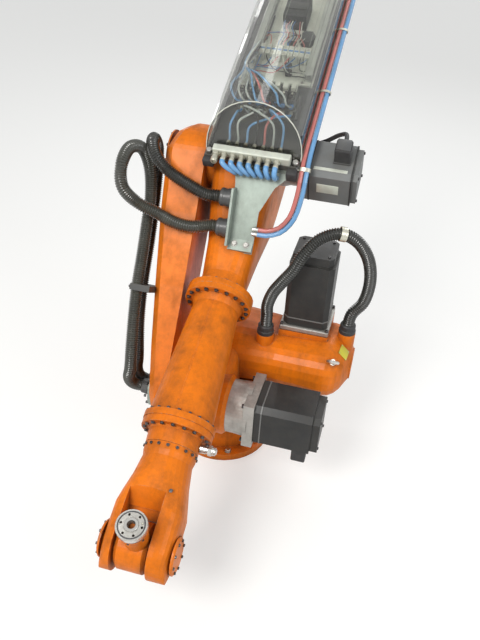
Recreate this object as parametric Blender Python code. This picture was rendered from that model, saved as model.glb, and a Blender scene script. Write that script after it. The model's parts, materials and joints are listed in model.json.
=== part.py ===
"""A six-axis industrial robot arm, folded down as it is stored: front towards -Y, right towards +X, metres, +Z up.

The origin is on the turning axis, at the underside of the base. Each moving piece hangs from an empty on its joint.
"""

from math import cos, pi, radians, sin, sqrt

import bmesh
import bpy
from mathutils import Matrix, Vector

# Fits between pieces
SEAT_GAP = 0.0003
RUN_GAP = 0.0006
OVERRUN = 0.02
MERGE = 0.00005

# The chain of joints
BASE_H = 0.228
SHOULDER_Y = -0.220
SHOULDER_H = 0.315
LINK_LENGTH = 0.692
LINK_LEAN = 31.9
ARM_DROOP = 26.5
AXIS_DROP = 0.155
WRIST_REACH = 1.063
FLANGE_RISE = 72.0

# Base
BASE_FOOT_R = 0.156
BASE_FOOT_T = 0.024
BASE_BODY_R = 0.118
BASE_NECK_R = 0.108
BASE_HEAD_R = 0.140
BASE_HEAD_T = 0.034
BASE_BOLT_PCR = 0.138
BASE_BOLT_R = 0.0075
BASE_BOLT_COUNT = 8
JUNCTION_SIZE = Vector((0.150, 0.070, 0.110))
JUNCTION_Z = 0.095
JUNCTION_BEVEL = 0.006

# Rotating column
DECK_R = 0.152
DECK_T = 0.050
DECK_STEP = 0.014
POD_LEFT = -0.060
POD_RIGHT = 0.392
POD_Y = 0.020
POD_H = 0.368
POD_HALF_H = 0.088
POD_HALF_D = 0.130
POD_END_SHARE = 0.42
POD_NECK_SHARE = 0.86
SADDLE_LEFT = -0.096
SADDLE_RIGHT = 0.078
SHOULDER_R = 0.088
SHOULDER_BOSS_R = 0.078
SHOULDER_HUB_R = 0.068
COLUMN_BEVEL = 0.010

# Shoulder motor, on the right of the shoulder
SHOULDER_FLANGE_L = 0.082
SHOULDER_FLANGE_R = 0.080
SHOULDER_PLATE_HALF = 0.076
SHOULDER_PLATE_T = 0.020
SHOULDER_MOTOR_L = 0.185
SHOULDER_MOTOR_HALF = 0.071
SHOULDER_CAP_L = 0.016
SHOULDER_PLUG_SIZE = Vector((0.042, 0.050, 0.050))

# Turning motor, upright on the column
SLEW_MOTOR_X = 0.235
SLEW_MOTOR_Y = 0.060
SLEW_MOTOR_L = 0.235
SLEW_MOTOR_HALF = 0.066
SLEW_FLANGE_T = 0.018
SLEW_FLANGE_HALF = 0.074
SLEW_PLUG_SIZE = Vector((0.046, 0.050, 0.044))
MOTOR_BEVEL = 0.014

# Cable loom over the turning motor: its route is read from the photograph, in the frame of the column
LOOM_R = 0.018
LOOM_BOSS_R = 0.026
LOOM_BOSS_TOP = 0.470
LOOM_ROUTE = (
    (0.127, -0.046, LOOM_BOSS_TOP), (0.127, -0.046, 0.500), (0.127, -0.048, 0.535), (0.127, -0.050, 0.570), (0.140, -0.052, 0.615),
    (0.163, -0.052, 0.655), (0.190, -0.048, 0.697), (0.214, -0.037, 0.748), (0.250, -0.016, 0.790),
    (0.302, 0.002, 0.806), (0.350, 0.016, 0.782), (0.385, 0.028, 0.728), (0.400, 0.038, 0.655),
    (0.393, 0.043, 0.580), (0.366, 0.038, 0.535), (0.360, 0.035, 0.500), (0.360, 0.035, LOOM_BOSS_TOP),
)

# Lifting eye on the column
EYE_X = 0.340
EYE_Y = -0.074
EYE_FOOT_H = 0.428
EYE_R = 0.015
EYE_WIRE_R = 0.005
EYE_BOSS_R = 0.013
EYE_BOSS_H = 0.009
EYE_STEM_R = 0.009
EYE_STEM_L = 0.018
EYE_LEAN = 50.0

# Link arm, left of the arm
LINK_INNER = -0.104
LINK_FOOT_R = 0.088
LINK_HEAD_R = 0.092
LINK_WAIST = 0.080
LINK_CHAMFER = 0.020
LINK_BEVEL = 0.010
LINK_FOOT_X = -0.128
LINK_HEAD_X = -0.222
# Each pair: how far along the link, and the share of the way from LINK_FOOT_X to LINK_HEAD_X
LINK_FLARE_SHARES = (
    (-0.98, 0.0),
    (-0.60, 0.149),
    (0.0, 0.277),
    (0.20, 0.489),
    (0.45, 0.702),
    (0.75, 0.915),
    (1.0, 1.0),
    (1.60, 0.787),
    (1.98, 0.426),
)
ELBOW_HUB_R = 0.074

# Arm housing, in the frame of the arm: the elbow axis is its origin, +Y runs to the rear
ARM_HALF_W = 0.094
RING_R = 0.0945
RING_T = 0.017
ROOT_TUBE_R = 0.0655
TIP_TUBE_R = 0.085
TUBE_TOP_REACH = 0.694
TUBE_TIP_REACH = 0.303
NECK_L = 0.059
SEAM_REACH = TUBE_TIP_REACH - NECK_L
HOUSING_REAR = 0.200
HOUSING_TOP = 0.078
HOUSING_HALF_H = 0.146
HOUSING_SECTIONS = 28
# Each row: how far from the ring to the rear, then width, height and rise of the middle as shares, then squareness
HOUSING_SHARES = (
    (0.197, 0.780, 0.589, 0.172, 3.2),
    (0.393, 0.930, 0.836, 0.586, 4.2),
    (0.530, 0.985, 1.000, 1.000, 4.6),
    (0.843, 0.985, 1.000, 1.000, 4.6),
    (0.951, 0.950, 0.877, 0.885, 4.2),
    (1.000, 0.880, 0.795, 0.816, 4.0),
)

# Wrist motors at the rear of the arm
REAR_MOTOR_R = 0.043
REAR_MOTOR_L = 0.150
REAR_MOTOR_SPREAD = 0.050
REAR_MOTOR_DROP = 0.060
REAR_MOTOR_CAP_SHARE = 0.8

# Elbow motor, on the right of the arm
ELBOW_MOTOR_L = 0.148
ELBOW_MOTOR_HALF = 0.064
ELBOW_MOTOR_LIFT = 0.016
ELBOW_BELL_L = 0.076
ELBOW_BELL_R = 0.056
ELBOW_PLUG_SIZE = Vector((0.044, 0.044, 0.050))

# Wrist
NECK_R = 0.071
NECK_RING_R = 0.093
NECK_RING_T = 0.018
GLAND_R = 0.011
GLAND_L = 0.030
FORK_ROOT_R = 0.068
FORK_HALF_W = 0.087
FORK_HALF_H = 0.068
FORK_COLLAR_L = 0.018
FORK_SHOULDER_REACH = SEAM_REACH * 0.484
FORK_TAPER_L = 0.040
FORK_CHEEK_L = 0.034
SLOT_LEFT = -0.054
SLOT_RIGHT = 0.036
SLOT_BACK_REACH = 0.088
TILT_SWEEP = 135.0
TILT_CLEAR = 0.006
TILT_R = 0.060
TURRET_R = 0.0345
PIVOT_R = 0.040
TURRET_FOOT_SHARE = 0.74
FLANGE_REACH = 0.140
FLANGE_T = 0.013
FLANGE_R = 0.036
FLANGE_BORE_R = 0.0085
FLANGE_HOLE_R = 0.0032
FLANGE_PCR = 0.025
FLANGE_HOLES = 6
CHEEK_CAP_R = 0.046
CHEEK_CAP_T = 0.007

# Valve box on the arm
TRAY_LEFT = -0.098
TRAY_RIGHT = 0.164
TRAY_FRONT = -0.078
TRAY_REAR = 0.720
TRAY_Z = 0.088
TRAY_T = 0.004
TRAY_RIM_H = 0.016
TRAY_RIM_T = 0.005
HOOD_WALL = 0.003
HOOD_RISE = 0.130
HOOD_SIDE_H = 0.015
HOOD_LEAN = 0.060
HOOD_STEPS = 18
BAR_H = 0.026
BAR_D = 0.022
BAR_INSET = 0.024
NIPPLE_R = 0.0055
NIPPLE_L = 0.022
NIPPLE_COUNT = 7
NIPPLE_PITCH = 0.024
FOOT_W = 0.090
FOOT_L = 0.030
FOOT_FRONT_Y = 0.000
FOOT_REAR_Y = 0.090
MANIFOLD_SIZE = Vector((0.170, 0.060, 0.034))
MANIFOLD_Y = 0.130
VALVE_SIZE = Vector((0.018, 0.050, 0.038))
VALVE_COUNT = 7
VALVE_PITCH = 0.023
PLATE_SIZE = Vector((0.200, 0.400, 0.006))
PLATE_Y = 0.430
RAIL_SIZE = Vector((0.160, 0.014, 0.010))
TERMINAL_SIZE = Vector((0.014, 0.040, 0.030))
TERMINAL_COUNT = 9
TERMINAL_PITCH = 0.0165
TERMINAL_Y = 0.330
RELAY_SIZE = Vector((0.070, 0.090, 0.048))
RELAY_Y = 0.500

# Hose bracket, from the slope of the arm housing up to the tray
BRACKET_RISE = 44.1
BRACKET_T = 0.004
BRACKET_FOOT_Y = -0.252
BRACKET_FOOT_Z = -0.077
BRACKET_FOOT_L = 0.036
BRACKET_FOOT_T = 0.014
BRACKET_FOOT_RISE = 18.0
BRACKET_TAB_L = 0.036
BRACKET_X = 0.034
BRACKET_NECK_X = 0.036
BRACKET_TOP_X = 0.066
BRACKET_FOOT_HALF = 0.034
BRACKET_NECK_HALF = 0.036
BRACKET_TOP_HALF = 0.074
BRACKET_NECK_SHARE = 0.50
BRACKET_WIDE_SHARE = 0.80
GLAND_PLATE_HALF = 0.024
GLAND_PLATE_SHARES = (0.08, 0.74)
GLAND_LIFT = 0.010
GLAND_SHARES = (0.27, 0.62)

# Conduits: their routes are read from the photograph, in the frame of the arm or of the link
CONDUIT_R = 0.018
CONDUIT_GLAND_R = 0.0215
CONDUIT_GLAND_L = 0.030
RISER_PLATE_R = 0.056
RISER_PLATE_L = 0.014
RISER_PLATE_Y = 0.018
RISER_MOUTH_X = -0.176
RISER_A_FOOT = (0.0, 0.0)
RISER_B_FOOT = (0.046, 0.012)
RISER_A_ROUTE = (
    (RISER_MOUTH_X, 0.000, 0.000), (-0.196, 0.000, 0.000), (-0.218, -0.024, 0.006), (-0.223, -0.060, 0.026), (-0.216, -0.085, 0.060),
    (-0.219, -0.100, 0.130), (-0.227, -0.100, 0.210), (-0.237, -0.086, 0.290), (-0.243, -0.071, 0.370),
    (-0.248, -0.061, 0.440), (-0.250, -0.058, 0.470),
)
RISER_B_ROUTE = (
    (RISER_MOUTH_X, 0.046, 0.012), (-0.196, 0.046, 0.012), (-0.218, 0.026, 0.022), (-0.223, -0.004, 0.048), (-0.217, -0.034, 0.090),
    (-0.220, -0.052, 0.150), (-0.228, -0.054, 0.220), (-0.238, -0.041, 0.300), (-0.244, -0.027, 0.370),
    (-0.249, -0.015, 0.440), (-0.251, -0.012, 0.470),
)
CLAMP_SHARE = 0.42
CLAMP_L = 0.018
CLAMP_DEPTH = 0.058
CLAMP_SPAN = (-0.122, 0.012)
LOOP_A_ROUTE = (
    (-0.25003, -0.21914, -0.06673), (-0.2512, -0.2030, -0.0589), (-0.253, -0.152, -0.027), (-0.262, -0.097, 0.030),
    (-0.280, -0.075, 0.085), (-0.298, -0.110, 0.122), (-0.303, -0.168, 0.115), (-0.297, -0.205, 0.070),
    (-0.262, -0.212, 0.020), (-0.204, -0.218, -0.006), (-0.165, -0.230, -0.012), (-0.130, -0.235, -0.016),
    (-0.095, -0.230, -0.020),
)
LOOP_B_ROUTE = (
    (-0.25103, -0.19504, -0.10593), (-0.2522, -0.1789, -0.0981), (-0.254, -0.128, -0.062), (-0.256, -0.070, -0.012),
    (-0.258, -0.030, 0.040), (-0.258, -0.034, 0.086), (-0.247, -0.072, 0.108), (-0.222, -0.110, 0.096),
    (-0.176, -0.132, 0.066), (-0.090, -0.155, 0.038),
)

# Air tubes, in the frame of the arm
AIR_TUBE_R = 0.0065
AIR_TUBE_PITCH = 0.0135
AIR_TUBE_ROUTE = (
    (0.066, -0.205, -0.022), (0.100, -0.206, -0.020), (0.135, -0.196, -0.010), (0.160, -0.168, 0.014),
    (0.170, -0.126, 0.052), (0.172, -0.088, 0.088), (0.172, -0.040, 0.108), (0.172, 0.030, 0.114),
    (0.172, 0.300, 0.114), (0.172, 0.600, 0.114),
)

ROUND_SEGMENTS = 40
SMALL_SEGMENTS = 16


# Materials
def finish(name, colour, roughness, metallic=0.0, alpha=1.0):
    """A Principled material with one colour."""
    made = bpy.data.materials.new(name)
    made.use_nodes = True
    shader = made.node_tree.nodes["Principled BSDF"]
    shader.inputs["Base Color"].default_value = (*colour, 1.0)
    shader.inputs["Roughness"].default_value = roughness
    shader.inputs["Metallic"].default_value = metallic
    shader.inputs["Alpha"].default_value = alpha
    return made


# Mesh helpers
def mesh_object(name, parts, material, parent=None, smooth_angle=35.0):
    """An object from a bmesh, parented to an empty without moving its own coordinates."""
    mesh = bpy.data.meshes.new(name)
    bmesh.ops.recalc_face_normals(parts, faces=parts.faces)
    parts.to_mesh(mesh)
    parts.free()
    mesh.shade_smooth()
    mesh.set_sharp_from_angle(angle=radians(smooth_angle))
    obj = bpy.data.objects.new(name, mesh)
    bpy.context.scene.collection.objects.link(obj)
    obj.data.materials.append(material)
    obj.parent = parent
    return obj


def bevel(obj, width, segments=2, angle=35.0):
    """Rounds the sharp edges."""
    modifier = obj.modifiers.new("bevel", "BEVEL")
    modifier.width = width
    modifier.segments = segments
    modifier.limit_method = "ANGLE"
    modifier.angle_limit = radians(angle)
    return obj


def combine(obj, other, operation):
    """A Boolean with another object, which stays as a hidden guide."""
    other.hide_render = True
    other.display_type = "WIRE"
    modifier = obj.modifiers.new(operation.lower(), "BOOLEAN")
    modifier.operation = operation
    modifier.object = other
    return obj


def ring_points(radius, segments, height=0.0):
    """Points on a level circle."""
    return [
        Vector((radius * cos(2 * pi * i / segments), radius * sin(2 * pi * i / segments), height))
        for i in range(segments)
    ]


def loft(rings):
    """A closed body through rings of points, in order, with flat ends."""
    parts = bmesh.new()
    rows = [[parts.verts.new(point) for point in ring] for ring in rings]
    count = len(rows[0])
    for low, high in zip(rows, rows[1:]):
        for i in range(count):
            j = (i + 1) % count
            parts.faces.new((low[i], low[j], high[j], high[i]))
    parts.faces.new(list(reversed(rows[0])))
    parts.faces.new(rows[-1])
    return parts


def turned(profile, segments=ROUND_SEGMENTS):
    """A solid of revolution about Z from (height, radius) pairs, lowest first."""
    return loft([ring_points(radius, segments, height) for height, radius in profile])


def turned_ring(profile, segments=ROUND_SEGMENTS):
    """A hollow solid of revolution about Z from a closed loop of (height, radius) pairs."""
    parts = bmesh.new()
    rows = [[parts.verts.new(p) for p in ring_points(radius, segments, height)] for height, radius in profile]
    for low, high in zip(rows, rows[1:] + rows[:1]):
        for i in range(segments):
            j = (i + 1) % segments
            parts.faces.new((low[i], low[j], high[j], high[i]))
    return parts


def block(size, centre):
    """A box."""
    parts = bmesh.new()
    bmesh.ops.create_cube(parts, size=1.0)
    bmesh.ops.scale(parts, vec=size, verts=parts.verts)
    bmesh.ops.translate(parts, vec=Vector(centre), verts=parts.verts)
    return parts


def prism(outline, low, high, axis):
    """An outline of 2-D points extruded along X, Y or Z between two places."""
    order = {
        "X": lambda p, t: Vector((t, p[0], p[1])),
        "Y": lambda p, t: Vector((p[0], t, p[1])),
        "Z": lambda p, t: Vector((p[0], p[1], t)),
    }[axis]
    return loft([[order(p, low) for p in outline], [order(p, high) for p in outline]])


def moved(parts, matrix):
    """The bmesh, transformed."""
    bmesh.ops.transform(parts, matrix=matrix, verts=parts.verts)
    return parts


def merged(*bodies):
    """Several bmeshes in one, as bodies that don't touch."""
    whole = bmesh.new()
    for parts in bodies:
        scratch = bpy.data.meshes.new("scratch")
        parts.to_mesh(scratch)
        parts.free()
        whole.from_mesh(scratch)
        bpy.data.meshes.remove(scratch)
    return whole


def along_x(start_x, y=0.0, z=0.0):
    """Takes a turned body from +Z to +X."""
    return Matrix.Translation((start_x, y, z)) @ Matrix.Rotation(pi / 2, 4, "Y")


def along_y(start_y, x=0.0, z=0.0):
    """Takes a turned body from +Z to +Y."""
    return Matrix.Translation((x, start_y, z)) @ Matrix.Rotation(-pi / 2, 4, "X")


def rounded_section(half_w, half_h, centre, power, count):
    """A superellipse in the XZ plane: power 2 is an ellipse, and more is squarer."""
    points = []
    for i in range(count):
        angle = 2 * pi * i / count
        c, s = cos(angle), sin(angle)
        x = half_w * (abs(c) ** (2 / power)) * (1 if c >= 0 else -1)
        z = half_h * (abs(s) ** (2 / power)) * (1 if s >= 0 else -1)
        points.append(Vector((centre[0] + x, centre[1], centre[2] + z)))
    return points


def smooth_route(points, step):
    """Points read at even steps from a smooth curve through the route's own points; its two end runs stay straight."""
    fine = []
    for a, b, c, d in zip(points, points[1:], points[2:], points[3:]):
        for i in range(20):
            t = i / 20
            fine.append(
                0.5 * ((2 * b) + (c - a) * t + (2 * a - 5 * b + 4 * c - d) * t ** 2 + (3 * b - a - 3 * c + d) * t ** 3)
            )
    fine.append(points[-2])
    total = sum((q - p).length for p, q in zip(fine, fine[1:]))
    pieces = max(2, round(total / step))
    route, walked, goal = [points[0], fine[0]], 0.0, total / pieces
    for p, q in zip(fine, fine[1:]):
        length = (q - p).length
        while walked + length >= goal - MERGE and len(route) <= pieces:
            route.append(p.lerp(q, (goal - walked) / length if length else 0.0))
            goal += total / pieces
        walked += length
    route.append(fine[-1])
    route.append(points[-1])
    return route


def hose(name, points, radius, material, parent=None, resolution=2):
    """A tube along a smooth route, with filled ends."""
    curve = bpy.data.curves.new(name, "CURVE")
    curve.dimensions = "3D"
    curve.bevel_depth = radius
    curve.bevel_resolution = resolution
    curve.use_fill_caps = True
    route = smooth_route([Vector(p) for p in points], radius * 3)
    spline = curve.splines.new("POLY")
    spline.points.add(len(route) - 1)
    for point, place in zip(spline.points, route):
        point.co = (*place, 1.0)
    curve.materials.append(material)
    obj = bpy.data.objects.new(name, curve)
    bpy.context.scene.collection.objects.link(obj)
    obj.parent = parent
    return obj


def tube_parts(points, radius, sides=24):
    """A closed tube along the same smooth route as a hose of the given radius, as a cutter or a guide."""
    route = smooth_route([Vector(p) for p in points], CONDUIT_R)
    side = Vector((0.0, 0.0, 1.0))
    rings = []
    for i, place in enumerate(route):
        ahead = (route[min(i + 1, len(route) - 1)] - route[max(i - 1, 0)]).normalized()
        side = (side - ahead * side.dot(ahead)).normalized()
        other = ahead.cross(side)
        rings.append([
            place + side * (radius * cos(2 * pi * k / sides)) + other * (radius * sin(2 * pi * k / sides))
            for k in range(sides)
        ])
    return loft(rings)


def empty(name, place, turn_x=0.0, parent=None):
    """A joint's frame: its place and its turn about X, both as seen from its parent."""
    obj = bpy.data.objects.new(name, None)
    bpy.context.scene.collection.objects.link(obj)
    obj.location = place
    obj.rotation_euler = (radians(turn_x), 0.0, 0.0)
    obj.parent = parent
    return obj


# Base
def build_base(paint):
    """The base casting, bolted down through its foot."""
    profile = [
        (0.0, BASE_FOOT_R),
        (BASE_FOOT_T, BASE_FOOT_R),
        (BASE_FOOT_T, BASE_BODY_R),
        (BASE_H - 2 * BASE_HEAD_T, BASE_NECK_R),
        (BASE_H - BASE_HEAD_T, BASE_HEAD_R),
        (BASE_H, BASE_HEAD_R),
    ]
    base = mesh_object("base_casting", turned(profile), paint)
    holes = [
        moved(
            turned([(-OVERRUN, BASE_BOLT_R), (BASE_FOOT_T + OVERRUN, BASE_BOLT_R)], SMALL_SEGMENTS),
            Matrix.Translation((BASE_BOLT_PCR * cos(angle), BASE_BOLT_PCR * sin(angle), 0.0)),
        )
        for angle in (2 * pi * (i + 0.5) / BASE_BOLT_COUNT for i in range(BASE_BOLT_COUNT))
    ]
    combine(base, mesh_object("base_bolt_holes_cutter", merged(*holes), paint), "DIFFERENCE")
    back = BASE_BODY_R - SEAT_GAP
    size = JUNCTION_SIZE
    box = mesh_object("junction_box", block(size, (0.0, back + size.y / 2 - OVERRUN, JUNCTION_Z)), paint)
    bevel(box, JUNCTION_BEVEL)
    clearance = [(height, radius + SEAT_GAP) for height, radius in profile[2:4]]
    combine(box, mesh_object("junction_seat_cutter", turned(clearance), paint), "DIFFERENCE")


# Rotating column
def pod_section(x, half_d, half_h, centre_z, count=28):
    """One rounded section of the column's body, across X."""
    ring = rounded_section(half_d, half_h, (0.0, 0.0, 0.0), 2.6, count)
    return [Vector((x, POD_Y + p.x, centre_z + p.z)) for p in ring]


def build_column(paint, frame):
    """The column: a deck on the base, a body that runs out to the right, and the saddle that holds the shoulder."""
    deck_low = BASE_H + RUN_GAP
    deck = [
        (deck_low, DECK_R - DECK_STEP),
        (deck_low + DECK_STEP, DECK_R),
        (deck_low + DECK_T, DECK_R),
        (deck_low + DECK_T + DECK_STEP, DECK_R - DECK_STEP),
    ]
    column = mesh_object("rotating_column", turned(deck), paint, frame)

    reach = POD_RIGHT - POD_LEFT
    stations = ((0.0, 0.80, 0.80), (0.06, 0.93, 0.92), (0.25, 1.0, 1.0), (0.50, 0.94, 0.90), (0.72, 0.98, 0.96))
    rings = [
        pod_section(POD_LEFT + reach * share, POD_HALF_D * depth, POD_HALF_H * height, POD_H)
        for share, depth, height in stations
    ]
    round_from = 0.84
    for i in range(7):
        angle = (pi / 2) * i / 6 * 0.96
        share = round_from + (1 - round_from) * sin(angle)
        size = max(cos(angle), POD_END_SHARE)
        rings.append(pod_section(POD_LEFT + reach * share, POD_HALF_D * size, POD_HALF_H * size, POD_H))
    combine(column, mesh_object("column_body_guide", loft(rings), paint, frame), "UNION")

    saddle = []
    for share in (0.0, 0.35, 0.7, 1.0):
        y = SHOULDER_Y * share
        half_h = POD_HALF_H * 0.9 + (SHOULDER_R * 0.86 - POD_HALF_H * 0.9) * share
        z = POD_H + (SHOULDER_H - POD_H) * share
        half_w = (SADDLE_RIGHT - SADDLE_LEFT) / 2 - COLUMN_BEVEL
        middle = (SADDLE_RIGHT + SADDLE_LEFT) / 2
        saddle.append(rounded_section(half_w, half_h, (middle, y, z), 5.0, 28))
    combine(column, mesh_object("column_saddle_guide", loft(saddle), paint, frame), "UNION")
    drum = [
        (0.0, SHOULDER_BOSS_R),
        (COLUMN_BEVEL, SHOULDER_R),
        (SADDLE_RIGHT - SADDLE_LEFT - COLUMN_BEVEL, SHOULDER_R),
        (SADDLE_RIGHT - SADDLE_LEFT, SHOULDER_BOSS_R),
    ]
    drum = moved(turned(drum), along_x(SADDLE_LEFT, SHOULDER_Y, SHOULDER_H))
    combine(column, mesh_object("column_drum_guide", drum, paint, frame), "UNION")
    hub_l = SADDLE_LEFT - LINK_INNER - RUN_GAP + OVERRUN
    hub = moved(turned([(0.0, SHOULDER_HUB_R), (hub_l, SHOULDER_HUB_R)]), along_x(LINK_INNER + RUN_GAP, SHOULDER_Y, SHOULDER_H))
    combine(column, mesh_object("column_hub_guide", hub, paint, frame), "UNION")
    pad = prism(
        [(SLEW_MOTOR_X + dx * SLEW_FLANGE_HALF, SLEW_MOTOR_Y + dy * SLEW_FLANGE_HALF)
         for dx, dy in ((-1, -1), (1, -1), (1, 1), (-1, 1))],
        POD_H, pad_top(), "Z",
    )
    combine(column, mesh_object("column_pad_guide", pad, paint, frame), "UNION")
    bosses = [
        moved(
            turned([(POD_H, LOOM_BOSS_R), (LOOM_BOSS_TOP - SEAT_GAP * 2, LOOM_BOSS_R)], 24),
            Matrix.Translation((foot[0], foot[1], 0.0)),
        )
        for foot in (LOOM_ROUTE[0], LOOM_ROUTE[-1])
    ]
    combine(column, mesh_object("column_bosses_guide", merged(*bosses), paint, frame), "UNION")
    boss = moved(turned([(-OVERRUN, EYE_BOSS_R), (EYE_BOSS_H, EYE_BOSS_R)], 24), eye_place())
    combine(column, mesh_object("column_eye_guide", boss, paint, frame), "UNION")
    return column


def eye_place():
    """Where the lifting eye stands on the column, with +Z out along its stem."""
    return Matrix.Translation((EYE_X, EYE_Y, EYE_FOOT_H)) @ Matrix.Rotation(radians(EYE_LEAN), 4, "X")


def pad_top():
    """The height of the machined pad that the turning motor stands on."""
    return POD_H + POD_HALF_H + COLUMN_BEVEL


def square_motor(length, half, cap_share=0.12):
    """A square servo motor along +Z from its face: body with chamfered edges and a slightly smaller end cap."""
    corner = half * 0.22
    outline = []
    for sx, sy in ((1, 1), (-1, 1), (-1, -1), (1, -1)):
        first = (sx * half, sy * (half - corner))
        second = (sx * (half - corner), sy * half)
        outline += [first, second] if sx == sy else [second, first]
    cap = length * cap_share
    rings = []
    for z, share in ((0.0, 1.0), (length - cap, 1.0), (length - cap, 0.90), (length, 0.90)):
        rings.append([Vector((x * share, y * share, z)) for x, y in outline])
    return loft(rings)


def build_column_motors(black, alloy, frame):
    """The two motors on the column, with their flanges and plugs."""
    face = SADDLE_RIGHT + SEAT_GAP
    flange = [
        (0.0, SHOULDER_BOSS_R),
        (SHOULDER_FLANGE_L * 0.25, SHOULDER_BOSS_R),
        (SHOULDER_FLANGE_L * 0.55, SHOULDER_FLANGE_R),
        (SHOULDER_FLANGE_L - SHOULDER_PLATE_T, SHOULDER_FLANGE_R),
    ]
    bell = moved(turned(flange), along_x(face, SHOULDER_Y, SHOULDER_H))
    bell = mesh_object("shoulder_motor_flange", bell, alloy, frame)
    plate_x = face + SHOULDER_FLANGE_L - SHOULDER_PLATE_T * 1.5
    plate = block(
        Vector((SHOULDER_PLATE_T * 1.5, 2 * SHOULDER_PLATE_HALF, 2 * SHOULDER_PLATE_HALF)),
        (plate_x + SHOULDER_PLATE_T * 0.75, SHOULDER_Y, SHOULDER_H),
    )
    combine(bell, mesh_object("shoulder_plate_guide", plate, alloy, frame), "UNION")

    motor_x = face + SHOULDER_FLANGE_L + SEAT_GAP
    body = moved(square_motor(SHOULDER_MOTOR_L, SHOULDER_MOTOR_HALF), along_x(motor_x, SHOULDER_Y, SHOULDER_H))
    mesh_object("shoulder_motor", body, black, frame)
    size = SHOULDER_PLUG_SIZE
    plug_z = SHOULDER_H - SHOULDER_MOTOR_HALF - SEAT_GAP - size.z / 2
    plug_x = motor_x + SHOULDER_MOTOR_L * 0.72
    mesh = block(size, (plug_x, SHOULDER_Y - SHOULDER_MOTOR_HALF * 0.3, plug_z))
    bevel(mesh_object("shoulder_motor_plug", mesh, black, frame), MOTOR_BEVEL * 0.3)

    top = pad_top() + SEAT_GAP
    outline = [(-1, -1), (1, -1), (1, 1), (-1, 1)]
    plate = prism([(x * SLEW_FLANGE_HALF, y * SLEW_FLANGE_HALF) for x, y in outline], 0.0, SLEW_FLANGE_T, "Z")
    plate = moved(plate, Matrix.Translation((SLEW_MOTOR_X, SLEW_MOTOR_Y, top)))
    bevel(mesh_object("turning_motor_flange", plate, alloy, frame), MOTOR_BEVEL * 0.3)
    motor_z = top + SLEW_FLANGE_T + SEAT_GAP
    body = moved(
        square_motor(SLEW_MOTOR_L, SLEW_MOTOR_HALF), Matrix.Translation((SLEW_MOTOR_X, SLEW_MOTOR_Y, motor_z))
    )
    mesh_object("turning_motor", body, black, frame)
    size = SLEW_PLUG_SIZE
    plug_y = SLEW_MOTOR_Y + SLEW_MOTOR_HALF + SEAT_GAP + size.y / 2
    mesh = block(size, (SLEW_MOTOR_X, plug_y, motor_z + SLEW_MOTOR_L * 0.70))
    bevel(mesh_object("turning_motor_plug", mesh, black, frame), MOTOR_BEVEL * 0.3)


def build_loom_and_eye(rubber, steel, frame):
    """The cable loom that arches over the turning motor, and the eye that the robot is lifted by."""
    hose("cable_loom", LOOM_ROUTE, LOOM_R, rubber, frame, 3)
    turn = eye_place()
    stem = [(EYE_BOSS_H + SEAT_GAP, EYE_STEM_R), (EYE_STEM_L, EYE_STEM_R)]
    eye = mesh_object("lifting_eye", moved(turned(stem, SMALL_SEGMENTS), turn), steel, frame)
    loop = [
        (EYE_WIRE_R * sin(2 * pi * i / 8), EYE_R + EYE_WIRE_R * cos(2 * pi * i / 8)) for i in range(8)
    ]
    lift = Matrix.Translation((0.0, 0.0, EYE_STEM_L + EYE_R)) @ Matrix.Rotation(pi / 2, 4, "X")
    ring = moved(turned_ring(loop, 24), turn @ lift)
    combine(eye, mesh_object("lifting_eye_guide", ring, steel, frame), "UNION")


# Link arm
def link_place(share):
    """Height along the link and half depth there: below 0 is the round foot, above 1 the round head."""
    if share < 0:
        return LINK_FOOT_R * share, LINK_FOOT_R * sqrt(1 - share * share)
    if share > 1:
        over = share - 1
        return LINK_LENGTH + LINK_HEAD_R * over, LINK_HEAD_R * sqrt(1 - over * over)
    waist = LINK_FOOT_R + (LINK_HEAD_R - LINK_FOOT_R) * share
    return LINK_LENGTH * share, waist - (waist - LINK_WAIST) * sin(pi * share)


def link_outer(share):
    """Where the outer face of the link arm lies, read between the stations that set its form."""
    for (low, flare_low), (high, flare_high) in zip(LINK_FLARE_SHARES, LINK_FLARE_SHARES[1:]):
        if share <= high:
            flare = flare_low + (flare_high - flare_low) * (share - low) / (high - low)
            return LINK_FOOT_X + (LINK_HEAD_X - LINK_FOOT_X) * flare
    return LINK_FOOT_X + (LINK_HEAD_X - LINK_FOOT_X) * LINK_FLARE_SHARES[-1][1]


def link_parts(clear):
    """The link arm's box form with its chamfered outer edges, grown outwards by a clearance."""
    turns = [i / 12 for i in range(13)]
    foot = [-sin(pi / 2 * (1 - t)) * 0.985 for t in turns]
    head = [1 + sin(pi / 2 * t) * 0.985 for t in turns]
    rings = []
    for share in foot[:-1] + [0.0, 0.2, 0.45, 0.75] + head:
        z, half = link_place(share)
        cut = min(LINK_CHAMFER, half * 0.6)
        half += clear
        outer = link_outer(share) - clear
        section = (
            (LINK_INNER, -half), (outer + cut, -half), (outer, -half + cut),
            (outer, half - cut), (outer + cut, half), (LINK_INNER, half),
        )
        rings.append([Vector((x, y, z)) for x, y in section])
    return loft(rings)


def build_link(paint, frame):
    """The link arm: one box-shaped casting that flares out to the left on its way up, with rounded ends."""
    link = mesh_object("link_arm", link_parts(0.0), paint, frame)
    bevel(link, LINK_BEVEL, 2)
    return link


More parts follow.
